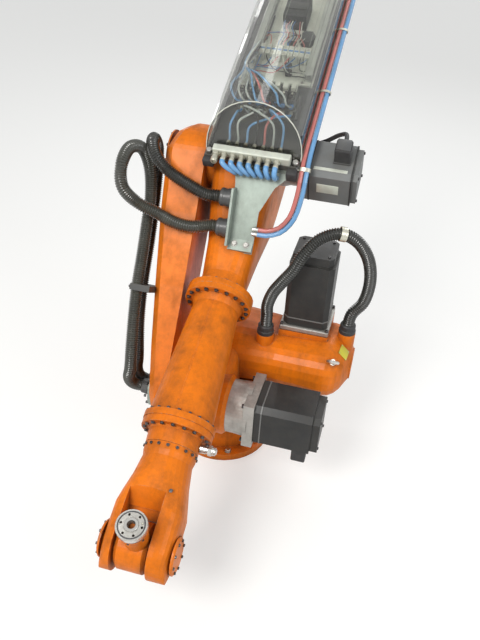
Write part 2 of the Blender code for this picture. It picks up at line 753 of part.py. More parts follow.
def build_risers(rubber, grey, frame):
    """Two conduits that climb the link arm, the plate with their glands at its foot, and the clamp that holds them."""
    face = link_outer(0.0)
    plate = moved(
        turned([(0.0, RISER_PLATE_R), (RISER_PLATE_L - face + LINK_FOOT_X, RISER_PLATE_R)], 32),
        along_x(face - RISER_PLATE_L, RISER_PLATE_Y, 0.0),
    )
    plate = mesh_object("riser_gland_plate", plate, grey, frame)
    glands = [
        moved(
            turned([(0.0, CONDUIT_GLAND_R), (face - RISER_MOUTH_X - SEAT_GAP, CONDUIT_GLAND_R)], 24),
            along_x(RISER_MOUTH_X + SEAT_GAP, y, z),
        )
        for y, z in (RISER_A_FOOT, RISER_B_FOOT)
    ]
    combine(plate, mesh_object("riser_glands_guide", merged(*glands), grey, frame), "UNION")
    combine(plate, mesh_object("riser_plate_cutter", link_parts(SEAT_GAP), grey, frame), "DIFFERENCE")

    hose("conduit_riser_a", RISER_A_ROUTE, CONDUIT_R, rubber, frame)
    hose("conduit_riser_b", RISER_B_ROUTE, CONDUIT_R, rubber, frame)
    low, high = CLAMP_SPAN
    outer = link_outer(CLAMP_SHARE)
    size = Vector((CLAMP_DEPTH, high - low, CLAMP_L))
    body = block(size, (outer + CLAMP_L * 0.2 - CLAMP_DEPTH / 2, (low + high) / 2, LINK_LENGTH * CLAMP_SHARE))
    clamp = mesh_object("riser_clamp", body, grey, frame)
    combine(clamp, mesh_object("riser_clamp_cutter", link_parts(SEAT_GAP), grey, frame), "DIFFERENCE")
    for name, route in (("riser_a_cutter", RISER_A_ROUTE), ("riser_b_cutter", RISER_B_ROUTE)):
        room = tube_parts(route, CONDUIT_R + SEAT_GAP * 2)
        combine(clamp, mesh_object(name, room, grey, frame), "DIFFERENCE")


# Arm
def arm_station(reach):
    """The place along the arm, from the elbow, of a point at a reach behind the wrist centre."""
    return reach - WRIST_REACH


def housing_parts(clear):
    """The housing's outer form from the bolting ring to the rear, grown by a clearance."""
    ring = arm_station(TUBE_TOP_REACH) + SEAT_GAP
    start = ring + RING_T * 3.4
    middle = HOUSING_TOP - HOUSING_HALF_H
    stations = [
        (ring, RING_R, RING_R, -AXIS_DROP, 2.0),
        (ring + RING_T, RING_R, RING_R, -AXIS_DROP, 2.0),
        (ring + RING_T, ROOT_TUBE_R * 1.06, ROOT_TUBE_R * 1.06, -AXIS_DROP, 2.0),
        (start, ROOT_TUBE_R, ROOT_TUBE_R * 1.05, -AXIS_DROP, 2.4),
    ]
    for along, width, height, rise, power in HOUSING_SHARES:
        stations.append((
            start + (HOUSING_REAR - start) * along,
            ARM_HALF_W * width,
            HOUSING_HALF_H * height,
            -AXIS_DROP + (middle + AXIS_DROP) * rise,
            power,
        ))
    return loft([
        rounded_section(w + clear, h + clear, (0.0, y, z), power, HOUSING_SECTIONS)
        for y, w, h, z, power in stations
    ])


def build_arm(paint, frame):
    """The arm housing: round where the forearm bolts on, and boxy round the elbow."""
    arm = mesh_object("arm_housing", housing_parts(0.0), paint, frame)
    hub_l = -LINK_INNER - RUN_GAP
    hub = moved(turned([(0.0, ELBOW_HUB_R), (hub_l, ELBOW_HUB_R)]), along_x(LINK_INNER + RUN_GAP))
    combine(arm, mesh_object("elbow_hub_guide", hub, paint, frame), "UNION")
    seat = moved(turned([(0.0, ELBOW_BELL_R), (ARM_HALF_W, ELBOW_BELL_R)]), along_x(0.0, 0.0, ELBOW_MOTOR_LIFT))
    combine(arm, mesh_object("elbow_seat_guide", seat, paint, frame), "UNION")
    return arm


def bracket_place(share, lift=0.0):
    """Y and Z of a point on the bracket's sloping sheet, at a share of its length and a lift off it."""
    length = (TRAY_Z - SEAT_GAP - BRACKET_FOOT_Z) / sin(radians(BRACKET_RISE))
    c, s = cos(radians(BRACKET_RISE)), sin(radians(BRACKET_RISE))
    return BRACKET_FOOT_Y + length * share * c - lift * s, BRACKET_FOOT_Z + length * share * s + lift * c


def build_hose_bracket(grey, frame):
    """A sheet bracket from the housing's slope up to the tray, with two conduit glands on its left edge."""
    rows = (
        (0.0, BRACKET_X, BRACKET_FOOT_HALF),
        (BRACKET_NECK_SHARE, BRACKET_NECK_X, BRACKET_NECK_HALF),
        (BRACKET_WIDE_SHARE, (BRACKET_NECK_X + BRACKET_TOP_X) / 2, (BRACKET_NECK_HALF + BRACKET_TOP_HALF) / 2),
        (0.94, BRACKET_TOP_X, BRACKET_TOP_HALF),
        (1.0, BRACKET_TOP_X, BRACKET_TOP_HALF),
    )
    rings = []
    for share, x, half in rows:
        y, z = bracket_place(share)
        top_y, top_z = bracket_place(share, -BRACKET_T)
        rings.append([
            Vector((x - half, y, z)), Vector((x + half, y, z)),
            Vector((x + half, top_y, top_z)), Vector((x - half, top_y, top_z)),
        ])
    bracket = mesh_object("hose_bracket", loft(rings), grey, frame)
    tab_y = bracket_place(1.0)[0] - BRACKET_T
    tab = block(
        Vector((2 * BRACKET_TOP_HALF, BRACKET_TAB_L, BRACKET_T)),
        (BRACKET_TOP_X, tab_y + BRACKET_TAB_L / 2, TRAY_Z - SEAT_GAP - BRACKET_T / 2),
    )
    combine(bracket, mesh_object("bracket_tab_guide", tab, grey, frame), "UNION")
    foot = block(Vector((2 * BRACKET_FOOT_HALF, BRACKET_FOOT_L, BRACKET_FOOT_T)), (0.0, 0.0, 0.0))
    foot_y, foot_z = bracket_place(0.09)
    turn = Matrix.Translation((BRACKET_X, foot_y, foot_z)) @ Matrix.Rotation(radians(BRACKET_FOOT_RISE), 4, "X")
    combine(bracket, mesh_object("bracket_foot_guide", moved(foot, turn), grey, frame), "UNION")

    left = BRACKET_X - BRACKET_FOOT_HALF
    side = [
        Vector((left - BRACKET_T, *bracket_place(share, lift)))
        for share, lift in (
            (GLAND_PLATE_SHARES[0], -GLAND_PLATE_HALF), (GLAND_PLATE_SHARES[1], -GLAND_PLATE_HALF),
            (GLAND_PLATE_SHARES[1], GLAND_PLATE_HALF + GLAND_LIFT), (GLAND_PLATE_SHARES[0], GLAND_PLATE_HALF + GLAND_LIFT),
        )
    ]
    plate = loft([side, [p + Vector((BRACKET_T * 1.5, 0.0, 0.0)) for p in side]])
    combine(bracket, mesh_object("gland_plate_guide", plate, grey, frame), "UNION")
    glands = []
    for share in GLAND_SHARES:
        y, z = bracket_place(share, GLAND_LIFT)
        mouth = left - BRACKET_T - CONDUIT_GLAND_L
        profile = [(0.0, CONDUIT_GLAND_R), (CONDUIT_GLAND_L + BRACKET_T * 0.5, CONDUIT_GLAND_R)]
        glands.append(moved(turned(profile, 24), along_x(mouth, y, z)))
    combine(bracket, mesh_object("bracket_glands_guide", merged(*glands), grey, frame), "UNION")
    combine(bracket, mesh_object("bracket_seat_cutter", housing_parts(SEAT_GAP), grey, frame), "DIFFERENCE")


def build_loops(rubber, frame):
    """The conduits' loops across the elbow, from the link arm's risers to the glands on the bracket."""
    mouth = BRACKET_X - BRACKET_FOOT_HALF - BRACKET_T - CONDUIT_GLAND_L - SEAT_GAP
    for name, route, share in (
        ("conduit_loop_a", LOOP_A_ROUTE, GLAND_SHARES[0]), ("conduit_loop_b", LOOP_B_ROUTE, GLAND_SHARES[1]),
    ):
        y, z = bracket_place(share, GLAND_LIFT)
        hose(name, [*route, (mouth - CONDUIT_R, y, z), (mouth, y, z)], CONDUIT_R, rubber, frame)


def build_air_tubes(red, blue, frame):
    """A red and a blue air tube along the right side of the valve box."""
    hose("air_tube_red", AIR_TUBE_ROUTE, AIR_TUBE_R, red, frame)
    places = [Vector(p) for p in AIR_TUBE_ROUTE]
    lift = Vector((0.0, -0.3, 1.0))
    route = []
    for i, place in enumerate(places):
        ahead = places[min(i + 1, len(places) - 1)] - places[max(i - 1, 0)]
        route.append(place + ahead.cross(lift).normalized() * AIR_TUBE_PITCH)
    hose("air_tube_blue", route, AIR_TUBE_R, blue, frame)


def build_elbow_motor(black, alloy, frame):
    """The elbow motor, on the elbow's axis at the right of the arm."""
    face = ARM_HALF_W + SEAT_GAP
    profile = [
        (0.0, ELBOW_BELL_R),
        (ELBOW_BELL_L * 0.3, ELBOW_BELL_R),
        (ELBOW_BELL_L * 0.5, ELBOW_BELL_R * 0.9),
        (ELBOW_BELL_L * 0.8, ELBOW_BELL_R * 0.9),
        (ELBOW_BELL_L * 0.8, ELBOW_BELL_R),
        (ELBOW_BELL_L, ELBOW_BELL_R),
    ]
    bell = moved(turned(profile), along_x(face, 0.0, ELBOW_MOTOR_LIFT))
    mesh_object("elbow_motor_flange", bell, alloy, frame)
    motor_x = face + ELBOW_BELL_L + SEAT_GAP
    body = moved(square_motor(ELBOW_MOTOR_L, ELBOW_MOTOR_HALF), along_x(motor_x, 0.0, ELBOW_MOTOR_LIFT))
    mesh_object("elbow_motor", body, black, frame)
    size = ELBOW_PLUG_SIZE
    plug_z = ELBOW_MOTOR_LIFT + ELBOW_MOTOR_HALF + SEAT_GAP + size.z / 2
    mesh = block(size, (motor_x + ELBOW_MOTOR_L * 0.66, 0.0, plug_z))
    bevel(mesh_object("elbow_motor_plug", mesh, black, frame), MOTOR_BEVEL * 0.3)


def build_rear_motors(black, frame):
    """Three wrist motors that stand out of the rear of the arm."""
    lift = REAR_MOTOR_DROP * 0.5
    places = (
        (-REAR_MOTOR_SPREAD, -AXIS_DROP + lift),
        (REAR_MOTOR_SPREAD, -AXIS_DROP + lift),
        (0.0, -AXIS_DROP + lift + REAR_MOTOR_SPREAD * 1.72),
    )
    for i, (x, z) in enumerate(places):
        cap = REAR_MOTOR_R * REAR_MOTOR_CAP_SHARE
        profile = [
            (0.0, REAR_MOTOR_R),
            (REAR_MOTOR_L * 0.8, REAR_MOTOR_R),
            (REAR_MOTOR_L * 0.8, cap),
            (REAR_MOTOR_L, cap),
        ]
        body = moved(turned(profile, 32), along_y(HOUSING_REAR + SEAT_GAP, x, z))
        mesh_object(f"wrist_motor_{i + 1}", body, black, frame)


def build_forearm(paint, alloy, frame):
    """The forearm tube with a bolting ring at each end, and the wrist's fixed neck."""
    tip = arm_station(TUBE_TIP_REACH)
    length = arm_station(TUBE_TOP_REACH) - tip
    profile = [
        (0.0, RING_R),
        (RING_T, RING_R),
        (RING_T, TIP_TUBE_R),
        (length * 0.20, TIP_TUBE_R * 0.965),
        (length - RING_T * 2.2, ROOT_TUBE_R),
        (length - RING_T, ROOT_TUBE_R * 1.10),
        (length - RING_T, RING_R),
        (length, RING_R),
    ]
    mesh_object("forearm_tube", moved(turned(profile), along_y(tip, 0.0, -AXIS_DROP)), paint, frame)

    seam = arm_station(SEAM_REACH)
    neck_l = tip - SEAT_GAP - seam
    profile = [
        (0.0, NECK_R * 0.97),
        (neck_l - NECK_RING_T * 1.3, NECK_R),
        (neck_l - NECK_RING_T, NECK_R * 1.05),
        (neck_l - NECK_RING_T, NECK_RING_R),
        (neck_l, NECK_RING_R),
    ]
    mesh_object("wrist_neck", moved(turned(profile), along_y(seam, 0.0, -AXIS_DROP)), paint, frame)
    gland_y = seam + (neck_l - NECK_RING_T) * 0.5
    profile = [(0.0, GLAND_R), (GLAND_L * 0.5, GLAND_R), (GLAND_L * 0.5, GLAND_R * 0.8), (GLAND_L, GLAND_R * 0.8)]
    gland = moved(turned(profile, SMALL_SEGMENTS), along_x(NECK_R + SEAT_GAP, gland_y, -AXIS_DROP))
    mesh_object("neck_fitting", gland, alloy, frame)


# Wrist
def build_fork(paint, frame):
    """The wrist fork: round at the neck, widening into two round-ended cheeks with the slot cut between them."""
    root = SEAM_REACH - RUN_GAP
    stations = [
        (root, FORK_ROOT_R, FORK_ROOT_R, 2.0),
        (root - FORK_COLLAR_L, FORK_ROOT_R, FORK_ROOT_R, 2.0),
        (root - FORK_COLLAR_L * 1.8, FORK_ROOT_R * 0.95, FORK_ROOT_R * 0.95, 2.0),
        (FORK_SHOULDER_REACH + FORK_TAPER_L, FORK_ROOT_R * 1.06, FORK_HALF_H * 0.98, 2.3),
        (FORK_SHOULDER_REACH, FORK_HALF_W * 0.92, FORK_HALF_H, 3.0),
        (FORK_SHOULDER_REACH - FORK_CHEEK_L, FORK_HALF_W, FORK_HALF_H, 3.4),
    ]
    for i in range(9):
        angle = (pi / 2) * i / 8 * 0.94
        stations.append((-FORK_HALF_H * sin(angle), FORK_HALF_W * (1 - 0.06 * sin(angle)), FORK_HALF_H * cos(angle), 3.4))
    rings = [rounded_section(w, h, (0.0, y, 0.0), power, 32) for y, w, h, power in stations]
    fork = mesh_object("wrist_fork", loft(rings), paint, frame, 40.0)
    sweep = SLOT_BACK_REACH
    limit = radians(180.0 - TILT_SWEEP)
    room = FLANGE_R + TILT_CLEAR
    far = (FORK_HALF_H * 2 + room * cos(limit)) / sin(limit)
    upper = [
        (t * cos(limit) + room * sin(limit), t * sin(limit) - room * cos(limit))
        for t in (far, sqrt(sweep ** 2 - room ** 2))
    ]
    nose = upper[1][1] / sweep
    back = [(sweep * sqrt(1 - (nose * share) ** 2), sweep * nose * share) for share in (-0.67, -0.33, 0.0, 0.33, 0.67)]
    outline = [
        (-FORK_HALF_H * 2, -FORK_HALF_H * 2), *[(y, -z) for y, z in upper], *back,
        *reversed(upper), (-FORK_HALF_H * 2, FORK_HALF_H * 2),
    ]
    slot = prism(outline, SLOT_LEFT, SLOT_RIGHT, "X")
    combine(fork, mesh_object("wrist_slot_cutter", slot, paint, frame), "DIFFERENCE")
    return fork


def build_fork_caps(paint, frame):
    """A round cover on the outside of each cheek, on the tilting axis."""
    profile = [(0.0, CHEEK_CAP_R), (CHEEK_CAP_T * 0.5, CHEEK_CAP_R), (CHEEK_CAP_T, CHEEK_CAP_R * 0.9)]
    for name, side in (("fork_cover_left", -1), ("fork_cover_right", 1)):
        cap = moved(
            turned(profile, 32),
            Matrix.Translation((side * (FORK_HALF_W + SEAT_GAP), 0.0, 0.0)) @ Matrix.Rotation(side * pi / 2, 4, "Y"),
        )
        mesh_object(name, cap, paint, frame)


def build_tilt(paint, frame):
    """The tilting head: a drum on the tilting axis, with the turret that carries the flange."""
    left = SLOT_LEFT + TILT_CLEAR
    right = SLOT_RIGHT - TILT_CLEAR
    edge = TILT_R * 0.14
    profile = [(0.0, TILT_R - edge), (edge, TILT_R), (right - left - edge, TILT_R), (right - left, TILT_R - edge)]
    head = mesh_object("tilting_head", moved(turned(profile), along_x(left)), paint, frame)
    top = FLANGE_REACH - FLANGE_T - RUN_GAP
    profile = [
        (0.0, right),
        (FLANGE_REACH * TURRET_FOOT_SHARE, right),
        (FLANGE_REACH * TURRET_FOOT_SHARE * 1.08, TURRET_R),
        (top * 0.93, TURRET_R),
        (top, TURRET_R * 0.94),
    ]
    combine(head, mesh_object("turret_guide", turned(profile), paint, frame), "UNION")
    pivot_l = SLOT_RIGHT - SLOT_LEFT - 2 * RUN_GAP
    pivot = moved(turned([(0.0, PIVOT_R), (pivot_l, PIVOT_R)]), along_x(SLOT_LEFT + RUN_GAP))
    combine(head, mesh_object("tilting_pivot_guide", pivot, paint, frame), "UNION")
    return head


def build_flange(steel, frame):
    """The tool flange: a turned disc with a centre bore and a ring of screw holes."""
    low = FLANGE_REACH - FLANGE_T
    profile = [
        (low, FLANGE_BORE_R),
        (low, FLANGE_R * 0.94),
        (low + FLANGE_T * 0.35, FLANGE_R),
        (FLANGE_REACH, FLANGE_R),
        (FLANGE_REACH, FLANGE_BORE_R),
    ]
    disc = mesh_object("tool_flange", turned_ring(profile), steel, frame)
    holes = [
        moved(
            turned([(low - OVERRUN, FLANGE_HOLE_R), (FLANGE_REACH + OVERRUN, FLANGE_HOLE_R)], 12),
            Matrix.Translation((FLANGE_PCR * cos(angle), FLANGE_PCR * sin(angle), 0.0)),
        )
        for angle in (2 * pi * i / FLANGE_HOLES for i in range(FLANGE_HOLES))
    ]
    combine(disc, mesh_object("flange_holes_cutter", merged(*holes), steel, frame), "DIFFERENCE")


# Valve box
def hood_section(y, lean, low, wall, drop=0.0):
    """An arch across the tray: short upright sides and a vaulted top, drawn in by the wall and leaning back."""
    middle = (TRAY_LEFT + TRAY_RIGHT) / 2
    inner = (TRAY_RIGHT - TRAY_LEFT) / 2 - wall
    vault = HOOD_RISE - HOOD_SIDE_H - wall
    outline = [(inner, -drop)]
    for i in range(HOOD_STEPS + 1):
        angle = pi * i / HOOD_STEPS
        outline.append((inner * cos(angle), HOOD_SIDE_H + vault * sin(angle)))
    outline.append((-inner, -drop))
    return [Vector((middle + x, y + lean * h / HOOD_RISE, low + h)) for x, h in outline]


def build_valve_box(clear, black, alloy, grey, blue, frame):
    """The valve box: a tray with a rim, a clear vaulted hood, the hose bar and the valves inside."""
    middle = (TRAY_LEFT + TRAY_RIGHT) / 2
    half = (TRAY_RIGHT - TRAY_LEFT) / 2
    length = TRAY_REAR - TRAY_FRONT
    tray = mesh_object(
        "valve_tray",
        block(Vector((2 * half, length, TRAY_RIM_H)), (middle, TRAY_FRONT + length / 2, TRAY_Z + TRAY_RIM_H / 2)),
        black, frame,
    )
    well = block(
        Vector((2 * (half - TRAY_RIM_T), length - 2 * TRAY_RIM_T, TRAY_RIM_H)),
        (middle, TRAY_FRONT + length / 2, TRAY_Z + TRAY_T + TRAY_RIM_H / 2),
    )
    combine(tray, mesh_object("valve_tray_cutter", well, black, frame), "DIFFERENCE")

    low = TRAY_Z + TRAY_RIM_H + SEAT_GAP
    front = TRAY_FRONT + BAR_D + HOOD_WALL
    rings = [hood_section(front, HOOD_LEAN, low, 0.0), hood_section(TRAY_REAR, 0.0, low, 0.0)]
    hood = mesh_object("valve_hood", loft(rings), clear, frame)
    rings = [
        hood_section(front + HOOD_WALL * 1.1, HOOD_LEAN, low, HOOD_WALL, OVERRUN),
        hood_section(TRAY_REAR - HOOD_WALL, 0.0, low, HOOD_WALL, OVERRUN),
    ]
    combine(hood, mesh_object("valve_hood_cutter", loft(rings), clear, frame), "DIFFERENCE")

    bar_y = TRAY_FRONT + BAR_D / 2
    bar = block(
        Vector((2 * (half - BAR_INSET), BAR_D - SEAT_GAP, BAR_H)), (middle, bar_y, low + BAR_H / 2)
    )
    bar = bevel(mesh_object("hose_bar", bar, grey, frame), BAR_H * 0.12)
    nipples = []
    for i in range(NIPPLE_COUNT):
        x = middle + (i - (NIPPLE_COUNT - 1) / 2) * NIPPLE_PITCH
        profile = [
            (-BAR_D / 2, NIPPLE_R * 1.3),
            (NIPPLE_L * 0.3, NIPPLE_R * 1.3),
            (NIPPLE_L * 0.3, NIPPLE_R),
            (NIPPLE_L, NIPPLE_R),
        ]
        turn = Matrix.Translation((x, TRAY_FRONT, low + BAR_H / 2)) @ Matrix.Rotation(pi / 2, 4, "X")
        nipples.append(moved(turned(profile, 12), turn))
    combine(bar, mesh_object("hose_nipples_guide", merged(*nipples), alloy, frame), "UNION")

    floor = TRAY_Z + TRAY_T + SEAT_GAP
    size = MANIFOLD_SIZE
    bank = mesh_object("valve_bank", block(size, (middle, MANIFOLD_Y, floor + size.z / 2)), alloy, frame)
    valves = []
    for i in range(VALVE_COUNT):
        x = middle + (i - (VALVE_COUNT - 1) / 2) * VALVE_PITCH
        valves.append(block(VALVE_SIZE, (x, MANIFOLD_Y, floor + size.z * 0.9 + VALVE_SIZE.z / 2)))
    combine(bank, mesh_object("valves_guide", merged(*valves), blue, frame), "UNION")
    size = PLATE_SIZE
    plate = mesh_object("terminal_plate", block(size, (middle, PLATE_Y, floor + size.z / 2)), grey, frame)
    plate_top = floor + size.z + SEAT_GAP
    terminals = []
    for i in range(TERMINAL_COUNT):
        x = middle + (i - (TERMINAL_COUNT - 1) / 2) * TERMINAL_PITCH
        terminals.append(block(TERMINAL_SIZE, (x, TERMINAL_Y, plate_top + TERMINAL_SIZE.z * 0.45)))
    combine(plate, mesh_object("terminals_guide", merged(*terminals), grey, frame), "UNION")
    mesh_object("bus_module", block(RELAY_SIZE, (middle, RELAY_Y, plate_top + RELAY_SIZE.z / 2)), black, frame)


def build_tray_feet(grey, frame):
    """Two brackets that carry the tray on the arm housing."""
    middle = (TRAY_LEFT + TRAY_RIGHT) / 2
    for name, y in (("tray_foot_front", FOOT_FRONT_Y), ("tray_foot_rear", FOOT_REAR_Y)):
        low = HOUSING_TOP + SEAT_GAP
        size = Vector((FOOT_W, FOOT_L, TRAY_Z - SEAT_GAP - low))
        mesh_object(name, block(size, (middle * 0.4, y, low + size.z / 2)), grey, frame)


def main():
    """Clears the scene and builds the robot."""
    for obj in list(bpy.data.objects):
        bpy.data.objects.remove(obj, do_unlink=True)

    orange = finish("orange_paint", (0.80, 0.22, 0.03), 0.38)
    black = finish("black_motor", (0.03, 0.032, 0.034), 0.45)
    alloy = finish("cast_alloy", (0.52, 0.52, 0.50), 0.42, 0.9)
    steel = finish("bright_steel", (0.60, 0.60, 0.58), 0.32, 1.0)
    rubber = finish("black_hose", (0.028, 0.028, 0.030), 0.55)
    grey = finish("grey_sheet", (0.42, 0.46, 0.42), 0.5, 0.2)
    clear = finish("clear_plastic", (0.85, 0.88, 0.86), 0.08, 0.0, 0.3)
    blue = finish("blue_plastic", (0.10, 0.22, 0.52), 0.4)
    red = finish("red_tube", (0.55, 0.10, 0.08), 0.4)
    blue_tube = finish("blue_tube", (0.10, 0.30, 0.62), 0.4)

    column = empty("column_axis", (0.0, 0.0, 0.0))
    link = empty("shoulder_axis", (0.0, SHOULDER_Y, SHOULDER_H), -LINK_LEAN, column)
    arm = empty("elbow_axis", (0.0, 0.0, LINK_LENGTH), LINK_LEAN + ARM_DROOP, link)
    wrist = empty("wrist_centre", (0.0, -WRIST_REACH, -AXIS_DROP), 0.0, arm)
    flange = empty("tilt_axis", (0.0, 0.0, 0.0), 90.0 - FLANGE_RISE - ARM_DROOP, wrist)

    build_base(orange)
    build_column(orange, column)
    build_column_motors(black, alloy, column)
    build_loom_and_eye(rubber, steel, column)
    build_link(orange, link)
    build_risers(rubber, grey, link)
    build_arm(orange, arm)
    build_elbow_motor(black, alloy, arm)
    build_rear_motors(black, arm)
    build_forearm(orange, alloy, arm)
    build_fork(orange, wrist)
    build_fork_caps(orange, wrist)
    build_tilt(orange, flange)
    build_flange(steel, flange)
    build_valve_box(clear, black, alloy, grey, blue, arm)
    build_tray_feet(grey, arm)
    build_hose_bracket(grey, arm)
    build_loops(rubber, arm)
    build_air_tubes(red, blue_tube, arm)


main()
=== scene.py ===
"""Looks of the folded six-axis robot arm: finishes for its solids, and the small pieces that dress them.

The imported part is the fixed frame. Lengths are in metres, with +X to the viewer's right, +Y to the rear and +Z up.
Each sub-assembly is written in the frame of the body that it rides on.
"""

from __future__ import annotations

import json
import logging
import math
import random
from dataclasses import dataclass, field
from enum import Enum
from typing import Any, Callable, ClassVar, Iterable, Sequence

import bmesh
import bpy
from mathutils import Matrix, Vector

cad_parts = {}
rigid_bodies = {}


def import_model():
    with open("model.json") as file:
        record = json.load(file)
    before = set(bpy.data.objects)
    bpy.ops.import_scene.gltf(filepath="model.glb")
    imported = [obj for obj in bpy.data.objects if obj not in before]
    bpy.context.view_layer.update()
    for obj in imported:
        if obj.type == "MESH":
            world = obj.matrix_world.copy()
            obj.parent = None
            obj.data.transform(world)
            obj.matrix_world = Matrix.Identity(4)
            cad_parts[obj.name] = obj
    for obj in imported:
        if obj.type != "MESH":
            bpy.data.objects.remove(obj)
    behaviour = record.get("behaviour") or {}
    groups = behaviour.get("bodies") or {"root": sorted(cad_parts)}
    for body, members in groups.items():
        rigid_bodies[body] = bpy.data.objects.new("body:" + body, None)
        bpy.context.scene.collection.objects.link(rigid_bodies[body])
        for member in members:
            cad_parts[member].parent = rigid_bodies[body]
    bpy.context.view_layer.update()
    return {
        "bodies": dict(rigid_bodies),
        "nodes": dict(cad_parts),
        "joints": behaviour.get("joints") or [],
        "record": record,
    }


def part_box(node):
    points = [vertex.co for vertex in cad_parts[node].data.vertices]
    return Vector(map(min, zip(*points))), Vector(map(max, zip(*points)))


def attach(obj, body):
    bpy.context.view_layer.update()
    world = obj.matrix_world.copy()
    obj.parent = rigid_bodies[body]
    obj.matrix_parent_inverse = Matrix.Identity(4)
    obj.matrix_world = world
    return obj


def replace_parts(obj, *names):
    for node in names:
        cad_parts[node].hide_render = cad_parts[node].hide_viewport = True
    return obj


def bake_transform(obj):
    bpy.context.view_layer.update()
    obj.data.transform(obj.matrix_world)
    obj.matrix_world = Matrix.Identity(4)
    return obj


LOG = logging.getLogger("robot_arm")

# The pose at rest in degrees, and the forearm's offset and length.
LINK_LEAN = 31.9
ARM_DROOP = 26.5
FLANGE_RISE = 72.0
AXIS_DROP = 0.155
WRIST_REACH = 1.063

# Edges sharper than these many degrees stay sharp: on castings, on screws and on tubes.
SHARP = 35.0
SHARP_SCREW = 30.0
SHARP_TUBE = 60.0

# How finely routes are read: the steps in their straight ends, and those between two of their points.
END_STEPS = 12
CURVE_STEPS = 24

# Sizes that sub-assemblies share: the conduits' ribs, the motors' seams, and the hose bracket with its two glands.
RIB_PITCH = 0.0062
RIB_DEPTH = 0.0030
SEAM_WIDTH = 0.0035
BRACKET_RISE = 44.1
BRACKET_HEIGHT = 0.1647
GLAND_SHARES = (0.27, 0.62)
GLAND_OFF = 0.010

Colour = tuple[float, float, float]
Point = Sequence[float]
Profile = Sequence[tuple[float, float]]
Places = list[tuple[Vector, Vector]]
Mesh = bmesh.types.BMesh

UP, FRONT, REAR = (0, 0, 1), (0, -1, 0), (0, 1, 0)
LEFT, RIGHT = (-1, 0, 0), (1, 0, 0)
SIDES = (-1, 1)


class Head(Enum):
    """The kinds of screw head on the robot."""

    SOCKET = "socket"
    HEX = "hex"
    PAN = "pan"


# Meshes


def new_object(name: str, mesh: Mesh, material: bpy.types.Material, angle: float = SHARP) -> bpy.types.Object:
    """Turns a bmesh into a scene object.

    Args:
        name: The piece's name.
        mesh: The bmesh, which is freed.
        material: The finish of the whole piece.
        angle: Edges sharper than this many degrees stay sharp.

    Returns:
        The new object, at the origin.
    """
    bmesh.ops.recalc_face_normals(mesh, faces=mesh.faces)
    data = bpy.data.meshes.new(name)
    mesh.to_mesh(data)
    mesh.free()
    data.shade_smooth()
    data.set_sharp_from_angle(angle=math.radians(angle))
    data.materials.append(material)
    obj = bpy.data.objects.new(name, data)
    bpy.context.scene.collection.objects.link(obj)
    return obj


def join(parts: Iterable[Mesh]) -> Mesh:
    """Puts several bmeshes into one.

    Args:
        parts: The bmeshes, which are freed.

    Returns:
        The whole.
    """
    whole = bmesh.new()
    for part in parts:
        scratch = bpy.data.meshes.new("scratch")
        part.to_mesh(scratch)
        part.free()
        whole.from_mesh(scratch)
        bpy.data.meshes.remove(scratch)
    return whole


def placed(mesh: Mesh, matrix: Matrix) -> Mesh:
    """The bmesh, moved by a matrix."""
    bmesh.ops.transform(mesh, matrix=matrix, verts=mesh.verts)
    return mesh


def circle(radius: float, height: float, count: int) -> list[Vector]:
    """Points evenly round Z, at a radius and a height."""
    angles = [math.tau * i / count for i in range(count)]
    return [Vector((radius * math.cos(a), radius * math.sin(a), height)) for a in angles]


def loft(rings: Sequence[Sequence[Vector]], closed: bool = False) -> Mesh:
    """A skin through rings of points.

    Args:
        rings: The rings, each with as many points as the next.
        closed: Whether the last ring joins the first. The two ends are capped where it doesn't.

    Returns:
        The skin as a bmesh.
    """
    mesh = bmesh.new()
    rows = [[mesh.verts.new(p) for p in ring] for ring in rings]
    count = len(rows[0])
    for low, high in zip(rows, rows[1:] + rows[:1] if closed else rows[1:]):
        for i in range(count):
            j = (i + 1) % count
            mesh.faces.new((low[i], low[j], high[j], high[i]))
    if not closed:
        mesh.faces.new(list(reversed(rows[0])))
        mesh.faces.new(rows[-1])
    return mesh


def turned(profile: Profile, segments: int = 32, closed: bool = False) -> Mesh:
    """A form turned about Z, from pairs of height and radius: a solid, or a ring where the profile is closed."""
    return loft([circle(radius, height, segments) for height, radius in profile], closed)


def band(low: float, high: float, inner: float, outer: float, segments: int) -> Mesh:
    """A plain ring about Z, from its two heights and its two radii."""
    return turned([(low, inner), (low, outer), (high, outer), (high, inner)], segments, True)


def rounded_box(size: Point, centre: Point, bevel: float, segments: int = 2) -> Mesh:
    """A box with rounded edges.

    Args:
        size: Its three sides.
        centre: Its middle.
        bevel: How far the rounding reaches from each edge.
        segments: The steps of the rounding.

    Returns:
        The box as a bmesh.
    """
    mesh = bmesh.new()
    bmesh.ops.create_cube(mesh, size=1.0)
    bmesh.ops.scale(mesh, vec=Vector(size), verts=mesh.verts)
    bmesh.ops.bevel(
        mesh, geom=list(mesh.edges), offset=bevel, segments=segments, profile=0.5, affect="EDGES", clamp_overlap=True
    )
    bmesh.ops.translate(mesh, vec=Vector(centre), verts=mesh.verts)
    return mesh


def boxes(rows: Iterable[tuple[Point, Point, float]]) -> list[Mesh]:
    """Rounded boxes from rows of size, middle and bevel."""
    return [rounded_box(*row) for row in rows]


def aim(place: Point, direction: Point, spin: float = 0.0) -> Matrix:
    """A matrix that puts +Z along a direction at a place.

    Args:
        place: Where the origin goes.
        direction: Where +Z points.
        spin: A turn about that direction, in radians.

    Returns:
        The matrix.
    """
    turn = Vector(direction).to_track_quat("Z", "Y").to_matrix().to_4x4()
    return Matrix.Translation(Vector(place)) @ turn @ Matrix.Rotation(spin, 4, "Z")


def sideways(place: Point, side: int) -> Matrix:
    """A matrix that lays +Z along +X at a place, or along -X where side is -1."""
    return Matrix.Translation(Vector(place)) @ Matrix.Rotation(side * math.pi / 2, 4, "Y")


